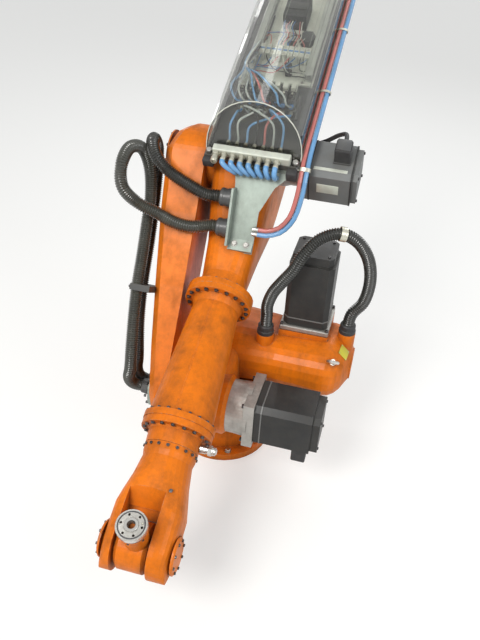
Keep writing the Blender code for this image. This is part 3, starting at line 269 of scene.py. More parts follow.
def axes(side: Vector, other: Vector, ahead: Vector) -> Matrix:
    """A turn that brings X, Y and Z to these three directions."""
    return Matrix((side, other, ahead)).transposed().to_4x4()


def screw(radius: float, height: float, head: Head = Head.SOCKET) -> Mesh:
    """A screw head standing on z = 0, with its washer and recess.

    Args:
        radius: The head's radius.
        height: The head's height.
        head: Which kind of head.

    Returns:
        The head as a bmesh.
    """
    count = 12
    corner = radius * (0.62 if head is Head.SOCKET else 0.45)

    def round_ring(r: float, z: float) -> list[Vector]:
        """A round ring of the head."""
        return circle(r, z, count)

    def hexagon(r: float, z: float) -> list[Vector]:
        """A ring with six corners."""
        flat = math.cos(math.pi / 6)
        return [p if i % 2 == 0 else Vector((p.x * flat, p.y * flat, z)) for i, p in enumerate(circle(r, z, count))]

    sink = -height * 0.3
    if head is Head.HEX:
        washer = radius * 1.28
        rings = [
            round_ring(washer, sink), round_ring(washer, height * 0.18), round_ring(radius * 1.02, height * 0.18),
            hexagon(radius, height * 0.20), hexagon(radius, height * 0.9), hexagon(radius * 0.9, height),
            round_ring(radius * 0.3, height * 1.01),
        ]
    elif head is Head.PAN:
        rings = [
            round_ring(radius, sink), round_ring(radius, height * 0.35), round_ring(radius * 0.86, height * 0.8),
            round_ring(radius * 0.55, height), hexagon(corner * 0.8, height), hexagon(corner * 0.75, height * 0.5),
        ]
    else:
        rings = [
            round_ring(radius, sink), round_ring(radius, height * 0.88), round_ring(radius * 0.92, height),
            hexagon(corner, height), hexagon(corner * 0.96, height * 0.42),
        ]
    return loft(rings)


def smooth_route(points: Sequence[Point], step: float) -> list[Vector]:
    """Reads a smooth curve through points at even steps.

    Args:
        points: The route's own points. The runs at its two ends stay straight.
        step: The distance between the points that come out.

    Returns:
        Points along the curve.
    """
    own = [Vector(p) for p in points]
    fine = [own[0] + (own[1] - own[0]) * k / END_STEPS for k in range(END_STEPS)]
    for a, b, c, d in zip(own, own[1:], own[2:], own[3:]):
        for k in range(CURVE_STEPS):
            t = k / CURVE_STEPS
            square, cube = 2 * a - 5 * b + 4 * c - d, 3 * b - a - 3 * c + d
            fine.append(0.5 * ((2 * b) + (c - a) * t + square * t**2 + cube * t**3))
    fine += [own[-2] + (own[-1] - own[-2]) * k / END_STEPS for k in range(END_STEPS + 1)]
    lengths = [0.0]
    for p, q in zip(fine, fine[1:]):
        lengths.append(lengths[-1] + (q - p).length)
    count = max(2, round(lengths[-1] / step))
    route, at = [], 0
    for i in range(count + 1):
        goal = lengths[-1] * i / count
        while at < len(fine) - 2 and lengths[at + 1] < goal:
            at += 1
        span = lengths[at + 1] - lengths[at]
        route.append(fine[at].lerp(fine[at + 1], (goal - lengths[at]) / span if span else 0.0))
    return route


def tube(route: Sequence[Vector], radius: Callable[[int], float], sides: int = 16) -> Mesh:
    """A closed tube along a route.

    Args:
        route: The centreline.
        radius: The radius at each point's index.
        sides: How many sides the tube has.

    Returns:
        The tube as a bmesh.
    """
    side = Vector((0.13, 0.21, 0.97))
    rings = []
    for i, place in enumerate(route):
        ahead = (route[min(i + 1, len(route) - 1)] - route[max(i - 1, 0)]).normalized()
        side = (side - ahead * side.dot(ahead)).normalized()
        other = ahead.cross(side)
        rings.append([place + side * p.x + other * p.y for p in circle(radius(i), 0.0, sides)])
    return loft(rings)


def corrugated(points: Sequence[Point], radius: float, pitch: float = RIB_PITCH, sides: int = 20) -> Mesh:
    """A corrugated conduit along a route.

    Args:
        points: The route's own points.
        radius: The radius over the ribs.
        pitch: The distance from rib to rib.
        sides: How many sides the conduit has.

    Returns:
        The conduit as a bmesh.
    """
    share = (1.0, 0.78, 0.0, 0.22)
    return tube(smooth_route(points, pitch / 4), lambda i: radius - RIB_DEPTH * (1.0 - share[i % 4]), sides)


def cable(points: Sequence[Point], step: float, radius: float, sides: int) -> Mesh:
    """A smooth round cable through points."""
    return tube(smooth_route(points, step), lambda i: radius, sides)


# Shader graphs


class Graph:
    """A short way to write a node tree."""

    def __init__(self, tree: bpy.types.NodeTree) -> None:
        """Takes over a node tree."""
        self.tree = tree
        self.column = 0

    def add(self, kind: str, **values: Any) -> bpy.types.Node:
        """Adds a node.

        Args:
            kind: The node's type without the ShaderNode prefix.
            **values: Properties by name, and inputs as in_Name.

        Returns:
            The node.
        """
        node = self.tree.nodes.new("ShaderNode" + kind)
        self.column += 1
        node.location = (self.column * 180, -(self.column % 5) * 120)
        for key, value in values.items():
            if key.startswith("in_"):
                self.feed(node, key[3:].replace("_", " "), value)
            else:
                setattr(node, key, value)
        return node

    def feed(self, node: bpy.types.Node, name: str | int, value: Any) -> None:
        """Links an output to an input, or sets the input's value.

        Args:
            node: The node that takes the value.
            name: The input's name or index.
            value: An output socket, or a plain value.
        """
        socket = node.inputs[name]
        if isinstance(value, bpy.types.NodeSocket):
            self.tree.links.new(value, socket)
        else:
            socket.default_value = value

    def maths(self, operation: str, first: Any, second: Any = 0.0, third: Any = 0.0) -> bpy.types.NodeSocket:
        """Adds a math node.

        Args:
            operation: Blender's name of the operation.
            first: A socket or number.
            second: A socket or number.
            third: A socket or number, for the operations that take three.

        Returns:
            Its value.
        """
        node = self.add("Math", operation=operation)
        for index, value in enumerate((first, second, third)):
            self.feed(node, index, value)
        return node.outputs[0]

    def times(self, first: Any, second: Any, clamp: bool = False) -> bpy.types.NodeSocket:
        """The product of two values, kept between 0 and 1 if clamped."""
        product = self.maths("MULTIPLY", first, second)
        product.node.use_clamp = clamp
        return product

    def mix(self, amount: Any, first: Any, second: Any) -> bpy.types.NodeSocket:
        """Mixes two colours.

        Args:
            amount: The share of the second colour.
            first: A socket or colour.
            second: A socket or colour.

        Returns:
            The mixed colour.
        """
        node = self.add("Mix", data_type="RGBA")
        for index, value in ((0, amount), (6, first), (7, second)):
            if isinstance(value, tuple) and len(value) == 3:
                value = (*value, 1.0)
            self.feed(node, index, value)
        return node.outputs[2]

    def span(self, value: Any, low: float, high: float) -> bpy.types.NodeSocket:
        """A value's place between low and high, from 0 to 1."""
        return self.add("MapRange", in_Value=value, in_From_Min=low, in_From_Max=high).outputs[0]

    def noise(self, place: Any, scale: Any, detail: float = 4.0, rough: float = 0.55) -> bpy.types.NodeSocket:
        """A noise value at a place."""
        return self.add("TexNoise", in_Vector=place, in_Scale=scale, in_Detail=detail, in_Roughness=rough).outputs[0]

    def behind_object(self) -> bpy.types.NodeSocket:
        """Whether a ray shows the background to the camera, straight, in gloss or through glass."""
        path = self.add("LightPath")
        seen = self.maths("MAXIMUM", path.outputs["Is Camera Ray"], path.outputs["Is Glossy Ray"])
        return self.maths("MAXIMUM", seen, path.outputs["Is Transmission Ray"])


def new_group(name: str, inputs: dict[str, float], outputs: Sequence[str]) -> tuple[Graph, Any, Any]:
    """Starts a shader node group.

    Args:
        name: The group's name.
        inputs: Input names with their default values.
        outputs: Output names, all plain values.

    Returns:
        Its graph, its input node and its output node.
    """
    tree = bpy.data.node_groups.new(name, "ShaderNodeTree")
    for key, value in inputs.items():
        socket = tree.interface.new_socket(key, in_out="INPUT", socket_type="NodeSocketFloat")
        socket.default_value = value
    for key in outputs:
        tree.interface.new_socket(key, in_out="OUTPUT", socket_type="NodeSocketFloat")
    return Graph(tree), tree.nodes.new("NodeGroupInput"), tree.nodes.new("NodeGroupOutput")


@dataclass
class Effects:
    """The effects that several finishes share, each built once."""

    marks: bpy.types.NodeTree = field(init=False)
    grain: bpy.types.NodeTree = field(init=False)

    def __post_init__(self) -> None:
        """Builds the groups."""
        self.marks = self._marks()
        self.grain = self._grain()

    @staticmethod
    def _marks() -> bpy.types.NodeTree:
        """Edge wear, settled dirt with painted shade in the hollows, runs, scuffs and a slow change of tone.

        Returns:
            The group's tree.
        """
        graph, given, out = new_group(
            "surface_marks", {"Edge": 0.004, "Wear": 0.5, "Dirt_and_shade": 0.5, "Scale": 1.0}, ("Wear", "Dirt_and_shade", "Tone", "Scuff")
        )
        wear, scale = given.outputs["Wear"], given.outputs["Scale"]
        place = graph.add("TexCoord").outputs["Object"]
        normal = graph.add("NewGeometry").outputs["Normal"]
        bevel = graph.add("Bevel", samples=4, in_Radius=given.outputs["Edge"])
        dot = graph.add("VectorMath", operation="DOT_PRODUCT")
        graph.feed(dot, 0, bevel.outputs[0])
        graph.feed(dot, 1, normal)
        edge = graph.span(dot.outputs["Value"], 0.995, 0.80)
        chips = graph.span(graph.noise(place, graph.times(scale, 70.0), 6.0, 0.7), 0.46, 0.60)
        worn = graph.times(graph.times(edge, chips), wear, True)
        spots = graph.span(graph.noise(place, graph.times(scale, 46.0), 8.0, 0.72), 0.69, 0.72)
        spots = graph.times(spots, graph.times(wear, 0.35))
        graph.feed(out, "Wear", graph.maths("MAXIMUM", worn, spots))

        stretch = graph.add("Mapping", in_Vector=place, in_Scale=(26.0, 26.0, 3.2))
        runs = graph.span(graph.noise(stretch.outputs[0], 1.0, 5.0, 0.65), 0.50, 0.74)
        # Ambient occlusion darkens the hollows: painted shade, added to the dirt mask.
        hollow = graph.add("AmbientOcclusion", samples=4, in_Distance=0.035)
        hollow = graph.span(hollow.outputs["AO"], 0.92, 0.35)
        cloud = graph.span(graph.noise(place, graph.times(scale, 14.0), 7.0, 0.7), 0.42, 0.70)
        lying = graph.span(graph.add("SeparateXYZ", in_Vector=normal).outputs["Z"], 0.1, 1.0)
        dirt_and_shade = graph.maths("ADD", graph.times(runs, 0.45), graph.times(hollow, 0.9))
        dirt_and_shade = graph.maths("ADD", dirt_and_shade, graph.times(cloud, graph.maths("MULTIPLY_ADD", lying, 0.3, 0.5)))
        graph.feed(out, "Dirt_and_shade", graph.times(dirt_and_shade, given.outputs["Dirt_and_shade"], True))
        graph.feed(out, "Tone", graph.span(graph.noise(place, graph.times(scale, 5.0), 3.0), 0.3, 0.7))
        scuff = graph.add("Mapping", in_Vector=place, in_Scale=(30.0, 90.0, 160.0), in_Rotation=(0.5, 0.3, 0.8))
        graph.feed(out, "Scuff", graph.span(graph.noise(scuff.outputs[0], 1.0, 6.0, 0.75), 0.60, 0.72))
        return graph.tree

    @staticmethod
    def _grain() -> bpy.types.NodeTree:
        """A height for Bump: cast pores or the slight waves of sprayed paint.

        Returns:
            The group's tree.
        """
        graph, given, out = new_group("surface_grain", {"Scale": 400.0, "Pores": 0.5}, ("Height",))
        place = graph.add("TexCoord").outputs["Object"]
        waves = graph.noise(place, given.outputs["Scale"], 2.0, 0.5)
        coarse = graph.times(given.outputs["Scale"], 0.6)
        pores = graph.add("TexVoronoi", feature="F1", in_Vector=place, in_Scale=coarse)
        deep = graph.times(graph.span(pores.outputs["Distance"], 0.0, 0.5), given.outputs["Pores"])
        graph.feed(out, "Height", graph.maths("ADD", waves, deep))
        return graph.tree

    def place_marks(self, graph: Graph, edge: float, wear: float, grime_and_shade: float, scale: float) -> bpy.types.Node:
        """Puts the marks into a material.

        Args:
            graph: The material's graph.
            edge: How wide the worn edges are.
            wear: How much of the edges is worn.
            grime_and_shade: How much dirt lies on it, with the painted shade in its hollows.
            scale: The size of the marks.

        Returns:
            The group's node.
        """
        marks = graph.add("Group", node_tree=self.marks)
        for key, value in (("Edge", edge), ("Wear", wear), ("Dirt_and_shade", grime_and_shade), ("Scale", scale)):
            marks.inputs[key].default_value = value
        return marks


def new_material(name: str) -> tuple[bpy.types.Material, Graph, bpy.types.Node]:
    """Starts a material: the material, its graph and its shader."""
    made = bpy.data.materials.new(name)
    made.use_nodes = True
    return made, Graph(made.node_tree), made.node_tree.nodes["Principled BSDF"]


@dataclass(frozen=True)
class Finish:
    """A painted, cast or moulded surface with wear, dirt and painted shade in its hollows.

    Args:
        name: The material's name.
        slot: The record's material slot that pieces with this finish belong to.
        colour: The clean colour.
        under: The colour that shows where it is worn.
        dirt_and_shade: The colour of what has settled on it, and of the painted shade in its hollows.
        rough: The clean roughness.
        metal: Metallic.
        coat: The weight of the clear coat.
        wear: How much of the edges is worn, from 0 to 1.
        grime_and_shade: How much dirt lies on it, with the painted shade in its hollows, from 0 to 1.
        edge: How wide the worn edges are, in metres.
        scale: The size of the marks, 1 for a large casting.
        grain: The scale of its fine texture.
        pores: How strongly the texture is pitted.
        bump: The strength of the texture.
        gloss: The shader's specular level.
    """

    name: str
    slot: str
    colour: Colour
    under: Colour
    dirt_and_shade: Colour
    rough: float
    metal: float = 0.0
    coat: float = 0.0
    wear: float = 0.5
    grime_and_shade: float = 0.30
    edge: float = 0.001
    scale: float = 2.0
    grain: float = 500.0
    pores: float = 0.1
    bump: float = 0.04
    gloss: float = 0.5

    def make(self, effects: Effects) -> bpy.types.Material:
        """Builds the material.

        Args:
            effects: The shared node groups.

        Returns:
            The material.
        """
        made, graph, shader = new_material(self.name)
        marks = effects.place_marks(graph, self.edge, self.wear, self.grime_and_shade, self.scale)
        light = tuple(min(1.0, c * 1.10 + 0.004) for c in self.colour)
        deep = tuple(c * 0.84 for c in self.colour)
        clean = graph.mix(marks.outputs["Tone"], deep, light)
        worn = graph.mix(marks.outputs["Wear"], clean, self.under)
        # The dirt mask, which holds painted shade in the hollows, darkens the colour.
        graph.feed(shader, "Base Color", graph.mix(marks.outputs["Dirt_and_shade"], worn, self.dirt_and_shade))
        rough = graph.maths("MULTIPLY_ADD", marks.outputs["Scuff"], 0.14, self.rough)
        graph.feed(shader, "Roughness", graph.maths("MULTIPLY_ADD", marks.outputs["Dirt_and_shade"], 0.35, rough))
        shader.inputs["Metallic"].default_value = self.metal
        shader.inputs["Specular IOR Level"].default_value = self.gloss
        if self.coat:
            shader.inputs["Coat Weight"].default_value = self.coat
            shader.inputs["Coat Roughness"].default_value = 0.12
        grain = graph.add("Group", node_tree=effects.grain)
        grain.inputs["Scale"].default_value = self.grain
        grain.inputs["Pores"].default_value = self.pores
        height = graph.maths("SUBTRACT", grain.outputs[0], graph.times(marks.outputs["Wear"], 0.8))
        bump = graph.add("Bump", in_Strength=self.bump, in_Distance=0.002, in_Height=height)
        graph.feed(shader, "Normal", bump.outputs[0])
        return made


@dataclass(frozen=True)
class ClearFinish:
    """Clear vaulted plastic with a faint tint, dust, painted shade in its hollows and fine scratches.

    Args:
        name: The material's name.
        slot: The record's material slot.
        tint: The colour of what passes through.
        dust_and_shade: The colour of what has settled on it, and of the painted shade in its hollows.
        rough: The clean roughness.
    """

    name: str = "clear_plastic"
    slot: str = "clear_plastic"
    tint: Colour = (0.965, 0.975, 0.955)
    dust_and_shade: Colour = (0.62, 0.62, 0.55)
    rough: float = 0.035

    def make(self, effects: Effects) -> bpy.types.Material:
        """Builds the material.

        Args:
            effects: The shared node groups.

        Returns:
            The material.
        """
        made, graph, shader = new_material(self.name)
        marks = effects.place_marks(graph, 0.002, 0.4, 0.35, 1.2)
        # The dirt mask, which holds painted shade in the hollows, dims the tint.
        graph.feed(shader, "Base Color", graph.mix(marks.outputs["Dirt_and_shade"], self.tint, self.dust_and_shade))
        graph.feed(shader, "Roughness", graph.maths("MULTIPLY_ADD", marks.outputs["Scuff"], 0.10, self.rough))
        shader.inputs["Transmission Weight"].default_value = 1.0
        shader.inputs["IOR"].default_value = 1.46
        return made


FINISHES: tuple[Finish | ClearFinish, ...] = (
    Finish("orange_paint", "orange_paint", (0.84, 0.198, 0.0050), (0.56, 0.34, 0.20), (0.13, 0.045, 0.012), 0.38,
           coat=0.05, wear=0.95, grime_and_shade=0.62, edge=0.0035, scale=1.0, grain=380.0, pores=0.15, bump=0.06, gloss=0.20),
    Finish("black_motor", "black_motor", (0.024, 0.025, 0.025), (0.14, 0.14, 0.14), (0.085, 0.078, 0.064), 0.46,
           coat=0.05, wear=0.55, grime_and_shade=0.34, edge=0.002, grain=520.0, pores=0.4, bump=0.12, gloss=0.32),
    Finish("dark_grey_motor", "black_motor", (0.165, 0.173, 0.172), (0.36, 0.36, 0.35), (0.16, 0.15, 0.13), 0.48,
           metal=0.1, grime_and_shade=0.4, edge=0.002, grain=520.0, pores=0.4, bump=0.12),
    Finish("cast_alloy", "cast_alloy", (0.50, 0.49, 0.46), (0.68, 0.67, 0.64), (0.10, 0.09, 0.075), 0.46,
           metal=0.85, wear=0.6, grime_and_shade=0.5, edge=0.002, grain=620.0, pores=0.8, bump=0.22),
    Finish("bright_steel", "bright_steel", (0.62, 0.61, 0.58), (0.75, 0.74, 0.72), (0.12, 0.10, 0.08), 0.26,
           metal=1.0, wear=0.4, scale=3.0, grain=900.0, bump=0.05),
    Finish("dark_screw", "bright_steel", (0.10, 0.10, 0.105), (0.45, 0.44, 0.42), (0.06, 0.045, 0.03), 0.36,
           metal=0.9, wear=0.6, edge=0.0008, scale=4.0, grain=900.0, bump=0.05),
    Finish("grey_sheet", "grey_sheet", (0.36, 0.42, 0.37), (0.62, 0.62, 0.58), (0.13, 0.12, 0.10), 0.42,
           metal=0.35, wear=0.6, grime_and_shade=0.42, edge=0.0015, pores=0.3, bump=0.08),
    Finish("pale_bar", "grey_sheet", (0.66, 0.69, 0.60), (0.75, 0.74, 0.70), (0.22, 0.20, 0.16), 0.38,
           metal=0.2, grime_and_shade=0.35, edge=0.0015, pores=0.2, bump=0.06),
    Finish("black_tray", "black_motor", (0.035, 0.037, 0.036), (0.16, 0.16, 0.15), (0.15, 0.14, 0.12), 0.5,
           grime_and_shade=0.5, edge=0.0015, grain=600.0, pores=0.4, bump=0.10),
    Finish("conduit_black", "black_hose", (0.016, 0.017, 0.016), (0.05, 0.05, 0.048), (0.10, 0.095, 0.075), 0.22,
           coat=0.4, wear=0.4, edge=0.0008, scale=3.0),
    Finish("conduit_grey", "black_hose", (0.040, 0.042, 0.036), (0.10, 0.10, 0.09), (0.13, 0.125, 0.095), 0.20,
           coat=0.5, wear=0.4, grime_and_shade=0.34, edge=0.0008, scale=3.0),
    Finish("gland_grey", "black_motor", (0.060, 0.062, 0.064), (0.16, 0.16, 0.155), (0.14, 0.13, 0.11), 0.42,
           coat=0.1, grime_and_shade=0.35, scale=3.0, pores=0.2, bump=0.06),
    Finish("black_rubber", "black_hose", (0.022, 0.022, 0.024), (0.06, 0.06, 0.06), (0.10, 0.095, 0.085), 0.55,
           wear=0.3, grime_and_shade=0.35, scale=3.0, grain=700.0, pores=0.2, bump=0.08),
    Finish("red_tube", "red_hose", (0.60, 0.16, 0.14), (0.70, 0.35, 0.30), (0.28, 0.16, 0.13), 0.24,
           coat=0.4, wear=0.2, scale=3.0, pores=0.0, bump=0.02),
    Finish("blue_tube", "blue_hose", (0.14, 0.36, 0.66), (0.35, 0.5, 0.7), (0.16, 0.20, 0.24), 0.24,
           coat=0.4, wear=0.2, scale=3.0, pores=0.0, bump=0.02),
    Finish("white_plastic", "grey_sheet", (0.66, 0.68, 0.60), (0.55, 0.55, 0.50), (0.30, 0.29, 0.23), 0.45,
           wear=0.3, grain=600.0),
    Finish("valve_grey", "grey_sheet", (0.17, 0.175, 0.165), (0.4, 0.4, 0.38), (0.12, 0.12, 0.10), 0.5,
           metal=0.2, wear=0.4, grime_and_shade=0.35, grain=600.0, pores=0.2, bump=0.05),
    Finish("clear_tube", "clear_plastic", (0.46, 0.50, 0.47), (0.6, 0.6, 0.58), (0.25, 0.25, 0.22), 0.2,
           coat=0.5, wear=0.2, grime_and_shade=0.25, scale=3.0, pores=0.0, bump=0.02),
    Finish("blue_plastic", "blue_hose", (0.10, 0.24, 0.50), (0.3, 0.4, 0.55), (0.14, 0.16, 0.18), 0.40,
           wear=0.3, grain=600.0),
    Finish("conduit_duct", "grey_sheet", (0.40, 0.42, 0.38), (0.5, 0.5, 0.46), (0.22, 0.21, 0.17), 0.5,
           wear=0.3, grain=600.0),
    Finish("yellow_patch", "grey_sheet", (0.78, 0.72, 0.06), (0.6, 0.55, 0.3), (0.30, 0.27, 0.10), 0.42,
           wear=0.4, grime_and_shade=0.35, grain=600.0, pores=0.0, bump=0.03),
    Finish("zinc_clamp", "cast_alloy", (0.60, 0.59, 0.50), (0.72, 0.71, 0.66), (0.16, 0.14, 0.10), 0.32,
           metal=0.9, wear=0.4, grime_and_shade=0.35, scale=3.0, grain=700.0, pores=0.2, bump=0.06),
    ClearFinish(),
)


class Palette:
    """Every finish on the robot, made once and looked up by name."""

    def __init__(self) -> None:
        """Builds the shared effects and every finish."""
        effects = Effects()
        self.finishes = {finish.name: finish for finish in FINISHES}
        self.made = {finish.name: finish.make(effects) for finish in FINISHES}

    def __getitem__(self, name: str) -> bpy.types.Material:
        """The material of that name."""
        return self.made[name]

    def slot(self, name: str) -> str:
        """The record's material slot for a finish."""
        return self.finishes[name].slot


# Frames and pieces


class Chain:
    """The frames of the robot's bodies at rest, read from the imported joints."""

    def __init__(self, joints: Sequence[dict[str, Any]]) -> None:
        """Works out the frame of each body.

        Args:
            joints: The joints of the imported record.
        """
        places = {joint["name"]: Vector(joint["pos_m"]) for joint in joints}

        def leaning(joint: str, degrees: float) -> Matrix:
            """A frame at a joint, turned about X."""
            return Matrix.Translation(places[joint]) @ Matrix.Rotation(math.radians(degrees), 4, "X")

        level, tilt = Matrix.Identity(4), leaning("wrist_tilt", 90.0 - FLANGE_RISE)
        self.frames = {
            "base": level, "column": level, "link": leaning("shoulder", -LINK_LEAN),
            "arm": leaning("elbow", ARM_DROOP), "fork": leaning("wrist_tilt", ARM_DROOP), "tilt": tilt, "flange": tilt,
        }

    def station(self, reach: float, x: float = 0.0, z: float = 0.0) -> Vector:
        """A place in the arm's frame, at a reach behind the wrist centre and offset from the forearm's axis."""
        return Vector((x, reach - WRIST_REACH, z - AXIS_DROP))


@dataclass
class Dresser:
    """Puts pieces on bodies.

    Args:
        palette: The finishes.
        chain: The bodies' frames.
        nodes: The CAD nodes by name.
    """

    palette: Palette
    chain: Chain
    nodes: dict[str, bpy.types.Object]

    def piece(
        self, name: str, mesh: Mesh, finish: str, body: str, slot: str | None = None, angle: float = SHARP
    ) -> bpy.types.Object:
        """Adds one piece and lets it ride.

        Args:
            name: The piece's name.
            mesh: Its bmesh, in its body's frame.
            finish: The name of its finish.
            body: The CAD body it rides on.
            slot: Not used.
            angle: Edges sharper than this many degrees stay sharp.

        Returns:
            The piece.
        """
        placed(mesh, self.chain.frames[body])
        obj = new_object(name, mesh, self.palette[finish], angle)
        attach(obj, body)
        slot or self.palette.slot(finish)
        LOG.info("%s rides on %s", name, body)
        return obj


@dataclass
class SubAssembly:
    """What all sub-assemblies share.

    Args:
        kit: What puts their pieces on the bodies.
    """

    kit: Dresser
    body: ClassVar[str] = "base"

    def add(
        self, name: str, mesh: Mesh, finish: str, slot: str | None = None, angle: float = SHARP,
        body: str | None = None,
    ) -> bpy.types.Object:
        """Adds one piece, on the sub-assembly's own body unless another is named."""
        return self.kit.piece(name, mesh, finish, body or self.body, slot, angle)

    def add_screws(
        self, name: str, places: Iterable[tuple[Point, Point]], radius: float, height: float,
        head: Head = Head.SOCKET, finish: str = "dark_screw", body: str | None = None,
    ) -> None:
        """Adds a set of screw heads as one piece, each with its own spin.

        Args:
            name: The piece's name.
            places: Where each head stands and where it points.
            radius: The heads' radius.
            height: The heads' height.
            head: The kind of head.
            finish: The name of their finish.
            body: The CAD body they ride on, where it isn't the sub-assembly's own.
        """
        spins = random.Random(name)
        heads = [placed(screw(radius, height, head), aim(p, d, spins.uniform(0.0, math.tau))) for p, d in places]
        self.add(name, join(heads), finish, "bright_steel", SHARP_SCREW, body)


def ring_places(centre: Point, normal: Point, radius: float, count: int, start: float = 0.0) -> Places:
    """Places evenly round a circle, all pointing along its normal.

    Args:
        centre: The circle's centre.
        normal: The direction of its axis.
        radius: Its radius.
        count: How many places.
        start: The first place's angle, in radians.

    Returns:
        Pairs of a place and the direction.
    """
    frame = aim(centre, normal)
    angles = [start + math.tau * i / count for i in range(count)]
    axis = Vector(normal).normalized()
    return [(frame @ Vector((radius * math.cos(a), radius * math.sin(a), 0.0)), axis) for a in angles]


def spoke_places(middle: Point, radius: float, axes_used: tuple[int, int], count: int, start: float) -> Places:
    """Places round a cylinder, each pointing outwards.

    Args:
        middle: The middle of the circle that they stand on.
        radius: Its radius.
        axes_used: The two axes of the circle's plane, 0 for X to 2 for Z.
        count: How many places.
        start: The first place's angle, in radians.

    Returns:
        Pairs of a place and the direction.
    """
    found = []
    for k in range(count):
        angle = math.tau * k / count + start
        out = Vector((0.0, 0.0, 0.0))
        out[axes_used[0]], out[axes_used[1]] = math.cos(angle), math.sin(angle)
        found.append((out * radius + Vector(middle), out))
    return found


def four_places(middle: Point, first: Point, second: Point, normal: Point) -> Places:
    """The four corners of a rectangle, from its middle and its two half sides, all pointing along a normal."""
    sides = [Vector(first) * a + Vector(second) * b for a in SIDES for b in SIDES]
    return [(Vector(middle) + side, Vector(normal)) for side in sides]


def square_band(half: float, corner: float) -> Mesh:
    """A thin band round a square motor with chamfered corners, about Z.

    Args:
        half: Half the motor's side.
        corner: How much each corner is cut.

    Returns:
        The band as a bmesh.
    """
    outline = []
    for sx, sy in ((1, 1), (-1, 1), (-1, -1), (1, -1)):
        first, second = (sx * half, sy * (half - corner)), (sx * (half - corner), sy * half)
        outline += [first, second] if sx == sy else [second, first]
    steps = ((0.0, 0.99), (0.0, 1.010), (SEAM_WIDTH, 1.010), (SEAM_WIDTH, 0.99))
    return loft([[Vector((x * share, y * share, z)) for x, y in outline] for z, share in steps])


# Sub-assemblies


@dataclass
class Base(SubAssembly):
    """The base: foot bolts and the junction box's fittings.

    Args:
        foot_top: The height of the foot plate's face.
        bolt_ring: The radius of the bolt circle.
        bolt_count: How many bolts stand on it.
        sockets: The height of the junction box's sockets.
    """

    foot_top: float = 0.024
    bolt_ring: float = 0.138
    bolt_count: int = 8
    sockets: float = 0.095

    ROUND_SOCKET: ClassVar[Profile] = (
        (0.0, 0.0100), (0.006, 0.0100), (0.0065, 0.0085), (0.014, 0.0085), (0.0155, 0.0065), (0.0155, 0.0030),
    )

    def dress(self) -> None:
        """Adds the pieces of the base."""
        places = ring_places((0, 0, self.foot_top), UP, self.bolt_ring, self.bolt_count, math.pi / self.bolt_count)
        self.add_screws("foot_bolts", places, 0.0085, 0.010, Head.HEX, "bright_steel")
        low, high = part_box("junction_box")
        y, z = high.y, (low.z + high.z) / 2
        lid = rounded_box((high.x - low.x - 0.016, 0.003, high.z - low.z - 0.016), (0, y + 0.0012, z), 0.001)
        self.add("junction_lid", lid, "black_tray")
        corners = four_places((0, y + 0.0026, z), (0.060, 0, 0), (0, 0, 0.040), REAR)
        self.add_screws("junction_screws", corners, 0.0035, 0.003, Head.PAN)
        hoods = boxes(((0.030, 0.014, 0.058), (x, y + 0.0095, self.sockets), 0.003) for x in (-0.042, 0.0))
        shells = boxes(((0.036, 0.004, 0.066), (x, y + 0.0042, self.sockets), 0.001) for x in (-0.042, 0.0))
        for rise in (-0.023, 0.0, 0.023):
            place = aim((0.042, y + 0.0026, self.sockets + rise), REAR)
            shells.append(placed(turned(self.ROUND_SOCKET, 16), place))
        self.add("junction_plugs", join(hoods), "gland_grey")
        self.add("junction_sockets", join(shells), "zinc_clamp")


